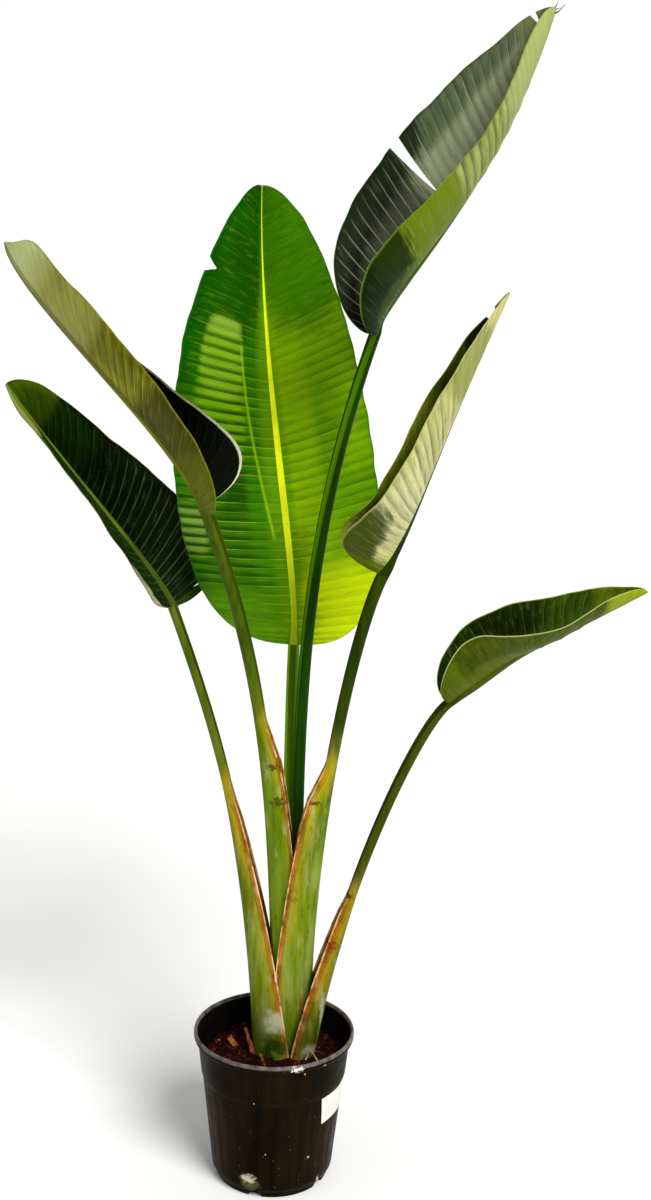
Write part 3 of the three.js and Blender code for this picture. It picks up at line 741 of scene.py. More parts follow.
# %% Crumbs, chips and pale flecks
# Size of each model in millimetres, and the number that gives it its own lumps.
CRUMBS = ((5, 4, 3), 1), ((7, 3.4, 2.6), 5), ((4, 4, 3.4), 9)
CHIPS = ((15, 6, 3), 2), ((11, 7, 3.4), 6), ((18, 4, 3), 11)
FLECKS = ((6, 2, 1.4), 3, 1), ((3, 2.4, 2), 4, 1)
crumbs = scatter("bark_crumbs", [rough_lump(*crumb) for crumb in CRUMBS], 520, (20, 107), (0.5, 1.25), 0.8)
chips = scatter("bark_chips", [rough_lump(*chip) for chip in CHIPS], 46, (46, 100), (0.6, 1.05), 1.2, 0.4)
flecks = scatter("pale_flecks", [rough_lump(*fleck) for fleck in FLECKS], 34, (46, 104), (0.6, 1.1), 2.2)


# %% Crumb finishes
def bark_finish(name, dark, light, grain):
    bark, tree, shader = new_finish(name, 0.85, Specular_IOR_Level=0.06)
    colour = tint(tree, patches(tree, 90.0, 0.35, 0.65), paint(*dark), paint(*light))
    colour = lay(tree, colour, patches(tree, grain, 0.4, 0.66, (1, 1, 3)), 0.5, dark)
    set_colour(tree, shader, colour)
    set_bump(tree, shader, cloud(tree, grain * 2, 4), 0.0006)
    return bark


dress(crumbs, bark_finish("dark_bark", (16, 4, 4), (58, 16, 10), 300.0))
dress(chips, bark_finish("red_bark", (38, 10, 7), (96, 34, 18), 260.0))
dress(flecks, bark_finish("pale_wood", (96, 46, 24), (176, 116, 72), 240.0))
for piece in (crumbs, chips, flecks):
    finish_piece(piece, "potting_mix", "soil")

# %% [markdown]
# ## Roots and a twig
#
# Stubs of old roots and a forked twig stick out of the mix. A cylinder would have to be bent along its way,
# but a curve is bent from the start: a poly-line with a round bevel, which becomes a mesh with convert. Its
# surface is then pushed about by noise, so that it reads as broken wood. The flake is a slab that is
# bevelled, subdivided and made ragged. The root fibres are the same rods, only thinner.

# %% Rods
ROD_STEPS = 10


def rod(name, points, radii, bumps, sides=12):
    """A tapered rough rod through points, in millimetres."""
    path = bpy.data.curves.new(name, "CURVE")
    path.dimensions = "3D"
    path.bevel_depth = MM
    path.bevel_resolution = sides // 4
    path.use_fill_caps = True
    spline = path.splines.new("POLY")
    places = np.array(points, float)
    steps = np.linspace(0, len(places) - 1, ROD_STEPS * (len(places) - 1) + 1)
    spline.points.add(len(steps) - 1)
    for knot, step in zip(spline.points, steps):
        place = [np.interp(step, range(len(places)), places[:, axis]) for axis in range(3)]
        knot.co = (*[part * MM for part in place], 1)
        knot.radius = float(np.interp(step, range(len(radii)), radii))
    piece = bpy.data.objects.new(name, path)
    bpy.context.scene.collection.objects.link(piece)
    make_active(piece)
    bpy.ops.object.convert(target="MESH")
    piece = name_piece(name)
    roughen(piece, 260, bumps)
    smooth(piece, 45)
    return piece


tall_stub = rod("tall_root_stub", [(-31, -10, 194), (-37, -5, 217), (-45, 0, 241)], (3.9, 3.4, 2.4), 1.5)
front_stub = rod("front_root_stub", [(-21, -22, 208), (-17, -32, 206.5), (-12, -43, 200)],
                 (2.4, 2.3, 1.8), 0.5)
twig = rod("forked_twig", [(48, -28, 196), (54, -25, 213), (56.5, -24, 218), (61, -23, 213), (71, -22, 196)],
           (1.5, 1.3, 1.2, 1.3, 1.5), 0.5)
print("rods:", tall_stub.name, front_stub.name, twig.name)

# %% Flake
FLAKE_SIZE, FLAKE_PLACE, FLAKE_TURN = (9, 4, 19), (-66, 20, 206), (-0.5, -0.45, 0.7)
FLAKE_BEVEL, FLAKE_PUSH = 1.2, (2.4, 0.9, 3.2)
deselect_all()
bpy.ops.mesh.primitive_cube_add(size=1)
flake = name_piece("loose_flake")
flake.scale = [size * MM for size in FLAKE_SIZE]
bpy.ops.object.transform_apply(scale=True)
bpy.ops.object.mode_set(mode="EDIT")
bpy.ops.mesh.select_all(action="SELECT")
bpy.ops.mesh.bevel(offset=FLAKE_BEVEL * MM, segments=2)
bpy.ops.mesh.select_all(action="SELECT")
bpy.ops.mesh.subdivide(number_cuts=3)
bpy.ops.object.mode_set(mode="OBJECT")
roughen(flake, 170, FLAKE_PUSH)
flake.rotation_euler = FLAKE_TURN
flake.location = [part * MM for part in FLAKE_PLACE]
bpy.ops.object.transform_apply(location=True, rotation=True)
smooth(flake, 40)
print("flake:", len(flake.data.polygons), "faces")

# %% Root fibres
FIBRES, FIBRE_KNOTS, FIBRE_STEP = 26, 6, 4
FIBRE_FIELD, FIBRE_LIMIT = (50, 96), 104
fibres = []
for index in range(FIBRES):
    angle = draw.uniform(0, 2 * math.pi)
    distance = draw.uniform(*FIBRE_FIELD)
    heading = draw.uniform(0, 2 * math.pi)
    points = []
    x = distance * math.cos(angle)
    y = distance * math.sin(angle)
    for knot in range(FIBRE_KNOTS):
        lift = 1.6 + 1.8 * math.sin(knot * 1.3 + index)
        points.append((x, y, mix_height(x, y) + lift))
        heading += draw.uniform(-0.5, 0.5)
        x += FIBRE_STEP * math.cos(heading)
        y += FIBRE_STEP * math.sin(heading)
        if math.hypot(x, y) > FIBRE_LIMIT:
            break
    if len(points) > 2:
        fibres.append(rod(f"fibre_{index}", points, [0.55, 0.25], 0.15, 8))
fibres = join_pieces(fibres, "root_fibres")
print("root fibres joined:", triangles(fibres), "triangles")

# %% Wood finishes
orange_wood = bark_finish("dry_orange_wood", (64, 24, 13), (176, 100, 56), 300.0)
brown_wood = bark_finish("dry_brown_wood", (74, 36, 22), (140, 84, 50), 320.0)
pale_wood = bark_finish("dry_pale_twig", (150, 112, 78), (214, 182, 140), 320.0)
for piece, wood, slot, node in ((tall_stub, orange_wood, "dry_bark", "root_stub_tall"),
                                (front_stub, brown_wood, "dry_bark", "root_stub_front"),
                                (twig, pale_wood, "dry_bark", "twig"),
                                (flake, orange_wood, "dry_bark", "bark_flake"),
                                (fibres, brown_wood, "potting_mix", "soil")):
    dress(piece, wood)
    finish_piece(piece, slot, node)

# %% [markdown]
# ## The leaves: measured lines
#
# A leaf of this plant is a stalk that runs on as the midrib of a large blade, whose two halves fold up or
# roll. Everything follows two smooth curves, so each leaf is a short table: where the stalk stands and
# bends, the four Bezier points of its midrib, and for each half its width, how far it rises out of the
# fan's plane from base to tip, and how much it curls towards its margin. A tear names its side, its share
# along the blade, the share across where it starts, and how far it opens.

# %% Leaf table, in millimetres and degrees
LEAVES = {
    "lower_right": {
        "foot": (50, 2, 150), "bend": (77, -4, 430), "arch": 61,
        "midrib": ((250, -20, 786), (378, -30, 893), (303, -45, 839), (522, -60, 971)),
        "opens": 180, "stem": 14.5, "sheath": {"top": 480, "reach": 42, "half_width": 29, "swell": 0.8},
        "left": {"width": 103, "rise": (17, -5, 31, 14), "curl": 30},
        "right": {"width": 106, "rise": (110, 155, 45, 122), "curl": 40},
        "ripple": 1.0, "skew": 14, "pleat": 0.6,
        "tears": (),
    },
    "lower_left": {
        "foot": (-21, 0, 150), "bend": (-37, 4, 537), "arch": 240,
        "midrib": ((-171, 116, 887), (-190, 128, 935), (-342, 120, 1110), (-414, 90, 1227)),
        "opens": 0, "stem": 14.5, "sheath": {"top": 630, "reach": 62, "half_width": 28, "swell": 1},
        "left": {"width": 105, "rise": (78, 87, 100, 84), "curl": 14},
        "right": {"width": 109, "rise": (-45, 0, 50, 15), "curl": 15},
        "ripple": 1.0, "skew": 62, "pleat": 0.7,
        "tears": ((1, 0.055, 0.62, 0.008), (1, 0.13, 0.62, 0.008)),
    },
    "right": {
        "foot": (52, 17, 150), "bend": (31, 4, 487), "arch": 95,
        "midrib": ((146, -60, 987), (201, -75, 1099), (193, -95, 1123), (299, -115, 1389)),
        "opens": 180, "stem": 17, "sheath": {"top": 690, "reach": 66, "half_width": 25, "swell": 0.46},
        "left": {"width": 108, "rise": (-20, 81, 23, 50), "curl": 21, "slim": 0.12},
        "right": {"width": 122, "rise": (143, 81, 101, 89), "curl": 39},
        "ripple": 1.0, "skew": 80, "pleat": 1.3, "keel": 7,
        "tears": ((-1, 0.95, 0.1, 0.014),),
    },
    "upper_left": {
        "foot": (8, 18, 150), "bend": (-5, -8, 595), "arch": 340,
        "midrib": ((-110, -70, 1083), (-139, -95, 1173), (-368, -125, 1379), (-366, -150, 1441)),
        "opens": 0, "stem": 18, "sheath": {"top": 750, "reach": 52, "half_width": 22, "swell": 0.41},
        "left": {"width": 128, "rise": (81, 110, 92, 113), "curl": 44},
        "right": {"width": 99, "rise": (-47, 59, 35, 10), "curl": 41, "slim": 0.42},
        "ripple": 1.0, "skew": 120, "pleat": 0.3, "keel": 11, "point": 0.64, "lean": 0.4,
        "tears": (),
    },
    "top_right": {
        "foot": (36, 18, 150), "bend": (29, 12, 674), "arch": 385,
        "midrib": ((125, 0, 1322), (148, -5, 1395), (290, -30, 1525), (346, -70, 1755)),
        "opens": 180, "stem": 17, "sheath": {"top": 560, "reach": 34, "half_width": 17, "swell": 0.6},
        "left": {"width": 138, "rise": (63, -17, 26, 39), "curl": 15},
        "right": {"width": 139, "rise": (76, 129, 47, 104), "curl": 45},
        "ripple": 1.0, "skew": 40, "pleat": 0.9, "keel": 9,
        "tears": ((-1, 0.53, 0.3, 0.016), (-1, 0.955, 0.3, 0.006)),
    },
    "centre": {
        "foot": (21, 30, 150), "bend": (18, 38, 466), "arch": 210,
        "midrib": ((18, 60, 847), (21, 95, 977), (-47, 130, 1269), (-44, 150, 1519)),
        "opens": 90, "stem": 18, "sheath": {"top": 480, "reach": 26, "half_width": 13, "swell": 0.6},
        "left": {"width": 159, "rise": (-26, 6, 44, 73), "curl": -10},
        "right": {"width": 143, "rise": (-15, 8, 27, 39), "curl": -10},
        "ripple": 1.6, "skew": 0, "pleat": 0.5, "rib": (4.6, 0.8), "rib_bulge": 2.2,
        "tears": ((-1, 0.8, 0.86, 0.012),),
    },
}
print("leaves:", ", ".join(LEAVES))


# %% Curve helpers
def unit(vectors):
    return vectors / np.linalg.norm(vectors, axis=-1, keepdims=True)


def bezier(corners, t):
    weights = np.stack([(1 - t) ** 3, 3 * t * (1 - t) ** 2, 3 * t ** 2 * (1 - t), t ** 3], axis=-1)
    return weights @ np.asarray(corners, float)


def frame_along(corners, t):
    """Direction of the curve, its front (towards -Y) and its right, at every share t."""
    corners = np.asarray(corners, float)
    weights = np.stack([(1 - t) ** 2, 2 * t * (1 - t), t ** 2], axis=-1)
    along = unit(weights @ (corners[1:] - corners[:-1]))
    front = unit(np.array([0.0, -1.0, 0.0]) + along * along[..., 1:2])
    return along, front, np.cross(along, front)


def between(pair, share):
    return pair[0] * (1 - share) + pair[1] * share


# %% [markdown]
# ## Blades
#
# A blade is a thin sheet on both sides of its midrib. No operator rolls a sheet along a measured line, so
# this is the one place where code does the shaping: a grid primitive gives the rows and columns, and every
# vertex moves to its place on the rolled surface. The rows are the side veins, so they swing out and lean
# forward as veins do, and the tissue between two main veins bulges a little, like a quilt.

# %% Blade outline, in millimetres
WIDEST = 0.4
RIB_HALF_WIDTH = (7, 0.8)


def outline(leaf, t):
    """Half width as a share of the widest: round lobes at the base, a blunt point at the tip."""
    lobe = np.cbrt(1 - np.clip(1 - t / WIDEST, 0, 1) ** 3)
    point = (1 - np.clip((t - WIDEST) / (1 - WIDEST), 0, 1) ** 2.5) ** leaf.get("point", 0.72)
    return np.where(t < WIDEST, lobe, point)


def rib_half_width(leaf, t):
    return between(leaf.get("rib", RIB_HALF_WIDTH), t) + leaf.get("rib_bulge", 0.6) * np.sin(np.pi * t) ** 2


def half_width(leaf, t, across):
    """Widest reach of each half; a slim half loses that share of it towards the tip."""
    left, right = leaf["left"], leaf["right"]
    width = np.where(across < 0, left["width"], right["width"])
    slim = np.where(across < 0, left.get("slim", 0), right.get("slim", 0))
    return width * (1 - slim * t ** 2)


def blade_reach(leaf, t, across):
    return np.maximum(half_width(leaf, t, across) * outline(leaf, t), rib_half_width(leaf, t) + 1)


# %% Blade surface
LEAN_MIDDLE, LEAN_TIP, VEIN_SWEEP = 0.16, 0.45, 0.08


def blade_point(leaf, t, across):
    """Place on the upper face, and where that face looks, at shares along and across the blade."""
    side = np.where(across < 0, -1, 1)
    halves = (leaf["left"], leaf["right"])
    width = half_width(leaf, t, across)
    rises = [bezier(np.array(half["rise"], float)[:, None], t)[..., 0] for half in halves]
    rise = np.radians(np.where(side < 0, *rises))
    curl = np.radians(np.where(side < 0, halves[0]["curl"], halves[1]["curl"]))
    reach = blade_reach(leaf, t, across)
    distance = reach * np.abs(across)
    turned = rise + curl * np.abs(across)
    along, front, right = frame_along(leaf["midrib"], t)
    outwards = side * reach / curl * (np.sin(turned) - np.sin(rise))
    forwards = reach / curl * (np.cos(rise) - np.cos(turned))
    lean = LEAN_MIDDLE * t * (1 - t) + leaf.get("lean", LEAN_TIP) * t ** 2
    advance = distance * lean + VEIN_SWEEP * distance ** 2 / width
    place = bezier(leaf["midrib"], t) + right * outwards[:, None] + front * forwards[:, None]
    place = place + along * advance[:, None]
    facing = front * np.cos(turned)[:, None] - right * (side * np.sin(turned))[:, None]
    return place, facing


def blade_rows(leaf, count):
    """Shares along the midrib that put the rows equally far apart, and the way to each row."""
    t = np.linspace(0, 1, 4001)
    steps = 0
    for across in (-1, -0.5, 0.001, 0.5, 1):
        track = blade_point(leaf, t, np.full_like(t, across))[0]
        steps = steps + np.linalg.norm(np.diff(track, axis=0), axis=1) / 5
    travelled = np.concatenate([[0], np.cumsum(steps)])
    even = np.linspace(0, travelled[-1], count + 1)
    return np.interp(even, travelled, t), even


# %% Tears
BLADE_ROWS, BLADE_COLUMNS = 420, 40


def cut_tears(blade, leaf, rows):
    """Deletes one strip of faces for each tear, from where it starts out to the margin."""
    centres = np.array([face.center[:2] for face in blade.data.polygons])
    strips = np.floor((centres[:, 1] + 0.5) * BLADE_ROWS).astype(int)
    torn = np.zeros(len(centres), bool)
    for side, at, start, _ in leaf["tears"]:
        strip = np.searchsorted(rows, at) - 1
        torn |= (strips == strip) & (2 * centres[:, 0] * side > start)
    if torn.any():
        pick_faces(blade, torn)
        bpy.ops.mesh.delete(type="FACE")
        bpy.ops.object.mode_set(mode="OBJECT")


def open_tears(leaf, t, across):
    """Spreads the rows on both sides of a tear, more and more towards the margin."""
    shifted = t.copy()
    for side, at, start, open_share in leaf["tears"]:
        opened = np.clip((across * side - start) / (1 - start), 0, 1)
        nearness = np.exp(-np.abs(t - at) / (2.5 * open_share))
        shifted += np.sign(t - at) * open_share * opened * nearness
    return shifted


# %% Ripples and quilting, in millimetres
MARGIN_NOTCHES, MARGIN_DEPTH = 26, 0.014
RIPPLE_LENGTH, RIPPLE_HEIGHT = 55, 3
QUILT_HEIGHT = 0.35


def uneven(way, side, length, apart, seed):
    """Noise along the blade that differs between its two sides."""
    places = zip(way / length, apart * side)
    return np.array([noise.noise(Vector((*place, seed))) for place in places])


def lift_off(leaf, way, turns, across, share, reach):
    """How far the tissue stands off the smooth surface: ripples, pleats and the quilt between veins."""
    waves = uneven(way, np.sign(across), RIPPLE_LENGTH, 3, 1)
    wave = RIPPLE_HEIGHT * leaf["ripple"] * share ** 2 * waves
    pleat = 1 - 2 * np.abs(turns % 2 - 1)
    crest = np.abs(np.sin(np.pi * turns)) - 0.6
    flat_margin = np.clip(3 * share, 0, 1) * (1 - share ** 3)
    relief = (leaf["pleat"] * pleat + QUILT_HEIGHT * crest) * flat_margin
    return (wave + relief) * np.clip(reach / 40, 0, 1)


# %% Blade from a grid
def make_blade(name, leaf):
    deselect_all()
    bpy.ops.mesh.primitive_grid_add(x_subdivisions=BLADE_COLUMNS, y_subdivisions=BLADE_ROWS, size=1)
    blade = name_piece("blade_" + name + "_lamina")
    flat = read_points(blade)
    rows, ways = blade_rows(leaf, BLADE_ROWS)
    row = np.rint((flat[:, 1] + 0.5) * BLADE_ROWS).astype(int)
    way = ways[row]
    across = 2 * flat[:, 0]
    cut_tears(blade, leaf, rows)
    t = np.clip(open_tears(leaf, rows[row], across), 0, 1)
    notches = uneven(way, np.sign(across), MARGIN_NOTCHES, 1, 5)
    place, facing = blade_point(leaf, t, across * (1 + MARGIN_DEPTH * notches * np.abs(across) ** 3))
    rib = rib_half_width(leaf, t)
    reach = blade_reach(leaf, t, across)
    share = np.clip((reach * np.abs(across) - rib) / (reach - rib), 0, 1)
    vein = (way - leaf["skew"] * np.abs(across) * (0.25 + 0.75 * t)) * MM
    lifted = lift_off(leaf, way, vein / MAIN_VEIN_SPACING, across, share, reach)
    write_points(blade, MM * (place + facing * lifted[:, None]))
    write_map(blade, "leaf", np.stack([across, way * MM], axis=1))
    write_map(blade, "veins", np.stack([across, vein], axis=1))
    print(name, "rows", round(ways[1], 2), "mm apart")
    return blade


blades = {name: make_blade(name, leaf) for name, leaf in LEAVES.items()}

# %% [markdown]
# ## Thickness and two faces
#
# The sheet becomes a closed body with Solidify, which grows it to its lower side. A second copy turned round
# would do too, but Solidify also gives the new lower face and the rim their own material slots. That is just
# what a leaf needs: its upper face, its paler underside and a thin edge have three different finishes.

# %% Solid blades
BLADE_THICKNESS = 1.0
for blade in blades.values():
    body = blade.modifiers.new("tissue", "SOLIDIFY")
    body.thickness = BLADE_THICKNESS * MM
    body.offset = -1
    body.material_offset = 1
    body.material_offset_rim = 2
print("thickness:", BLADE_THICKNESS, "mm")

# %% [markdown]
# ## Blade colours
#
# Each leaf has its own greens, because the light passes through some and only glances off others. One shared
# green would look like plastic. A finish starts with a deep and a bright green for each half, blended in
# soft patches. Zones that are brighter or duller follow, and many of them are painted sunlight, shade and
# sheen. Then come painted shade on one slope of every pleat, streaks, the fine and the main veins, and the
# margin. All of them are placed on the leaf map.

# %% Blade zones
WAXY_SHEEN = (0.85, 0.92, 0.4, 1)
SHADOW = (0, 0, 0)


def zone_washes(tree, zones, slope):
    """A mask for each zone, at its strength; a striped zone thins out on one slope of every pleat."""
    band = ramp(tree, slope, 0.15, 0.75)
    washes = []
    for across, along, half_across, half_along, colour, strength, softness, *striped in zones:
        mask = use_group(tree, "blade_zone", Across=across, Along=along, Half_Across=half_across,
                         Half_Along=half_along, Soft=softness)
        wash = both(tree, mask, strength)
        if striped:
            wash = both(tree, wash, ramp(tree, band, 0, 1, 1 - striped[0], 1.0))
        washes.append((wash, colour))
    return washes


def lay_washes(tree, colour, washes, share):
    for wash, zone_colour in washes:
        colour = lay(tree, colour, wash, share, zone_colour)
    return colour


# %% Slopes, streaks, veins and creases
def lay_shade(tree, colour, slope, to_tip, slope_shade, chance_shade):
    """Darkens one slope of every pleat, and some pleats more than others by chance."""
    pleated = ramp(tree, patches(tree, 7.0, 0.3, 0.62), 0, 1, 0.35, 1.0)
    shade = both(tree, ramp(tree, slope, 0.8, 0.0, 0.0, slope_shade), pleated, to_tip)
    shade = calc(tree, "MULTIPLY_ADD", use_group(tree, "veins", "Chance"), chance_shade, shade)
    return lay(tree, colour, shade, 1.0, SHADOW)


def lay_streaks(tree, colour, vein, pale, deep):
    streaks = use_group(tree, "streaks")
    colour = lay(tree, colour, ramp(tree, streaks, 0.52, 0.78), pale, vein)
    return lay(tree, colour, ramp(tree, streaks, 0.5, 0.24), deep, SHADOW)


def lay_veins(tree, colour, vein, inside, to_tip, width, fine_strength, vein_strength):
    fine = both(tree, use_group(tree, "veins", "Fine"), inside)
    faded = ramp(tree, patches(tree, 14.0, 0.3, 0.6), 0.0, 1.0, 0.25, 1.0)
    main = both(tree, use_group(tree, "veins", "Main", Width=width), inside, faded, to_tip)
    colour = lay(tree, colour, fine, fine_strength, vein)
    return lay(tree, colour, main, vein_strength, vein)


# Each stroke is a painted highlight, a pale line of light laid over the leaf.
def lay_highlight_strokes(tree, colour, highlight_strokes):
    for across, slant, start, end, width, highlight_colour in highlight_strokes:
        mask = use_group(tree, "crease", Across=across, Slant=slant, Start=start, End=end, Width=width)
        colour = lay(tree, colour, mask, 0.6, highlight_colour)
    return colour


# %% Blade finish maker
def blade_finish(name, left, right, vein, edge, zones=(), highlight_strokes=(), vein_strength=0.6, fine_strength=0.16,
                 gloss=0.42, slope_shade=0.35, chance_shade=0.15, width=0.22, edge_strength=0.5,
                 edge_start=0.965, quiet=0.45, tip_fade=(9, 10), streaky=(0.3, 0.5)):
    """Layers one face of a blade; quiet says how strongly the zones cover the veins again."""
    leaf_skin, tree, shader = new_finish(name, gloss, Specular_IOR_Level=0.03, Specular_Tint=WAXY_SHEEN)
    leaf_map = parts_of(tree, own_map(tree, "leaf"))
    outwards = calc(tree, "ABSOLUTE", leaf_map["X"])
    slope = use_group(tree, "veins", "Slope")
    soft = patches(tree, 9.0, 0.35, 0.65)
    halves = [tint(tree, soft, paint(*deep), paint(*bright)) for deep, bright in (left, right)]
    colour = tint(tree, ramp(tree, leaf_map["X"], -0.02, 0.02), *halves)
    washes = zone_washes(tree, zones, slope)
    colour = lay_washes(tree, colour, washes, 1.0)
    to_tip = ramp(tree, leaf_map["Y"], *tip_fade, 1.0, 0.25)
    colour = lay_shade(tree, colour, slope, to_tip, slope_shade, chance_shade)
    colour = lay_streaks(tree, colour, vein, *streaky)
    inside = ramp(tree, outwards, 1.0, 0.8)
    colour = lay_veins(tree, colour, vein, inside, to_tip, width, fine_strength, vein_strength)
    colour = lay_washes(tree, colour, washes, quiet)
    colour = lay_highlight_strokes(tree, colour, highlight_strokes)
    margin = ramp(tree, outwards, edge_start, min(0.998, edge_start + 0.03))
    colour = lay(tree, colour, margin, edge_strength, edge)
    set_colour(tree, shader, colour, ramp(tree, cloud(tree, 30.0), 0.3, 0.7, gloss - 0.06, gloss + 0.08))
    set_bump(tree, shader, use_group(tree, "veins", "Height"), 0.0006, 0.8)
    return leaf_skin
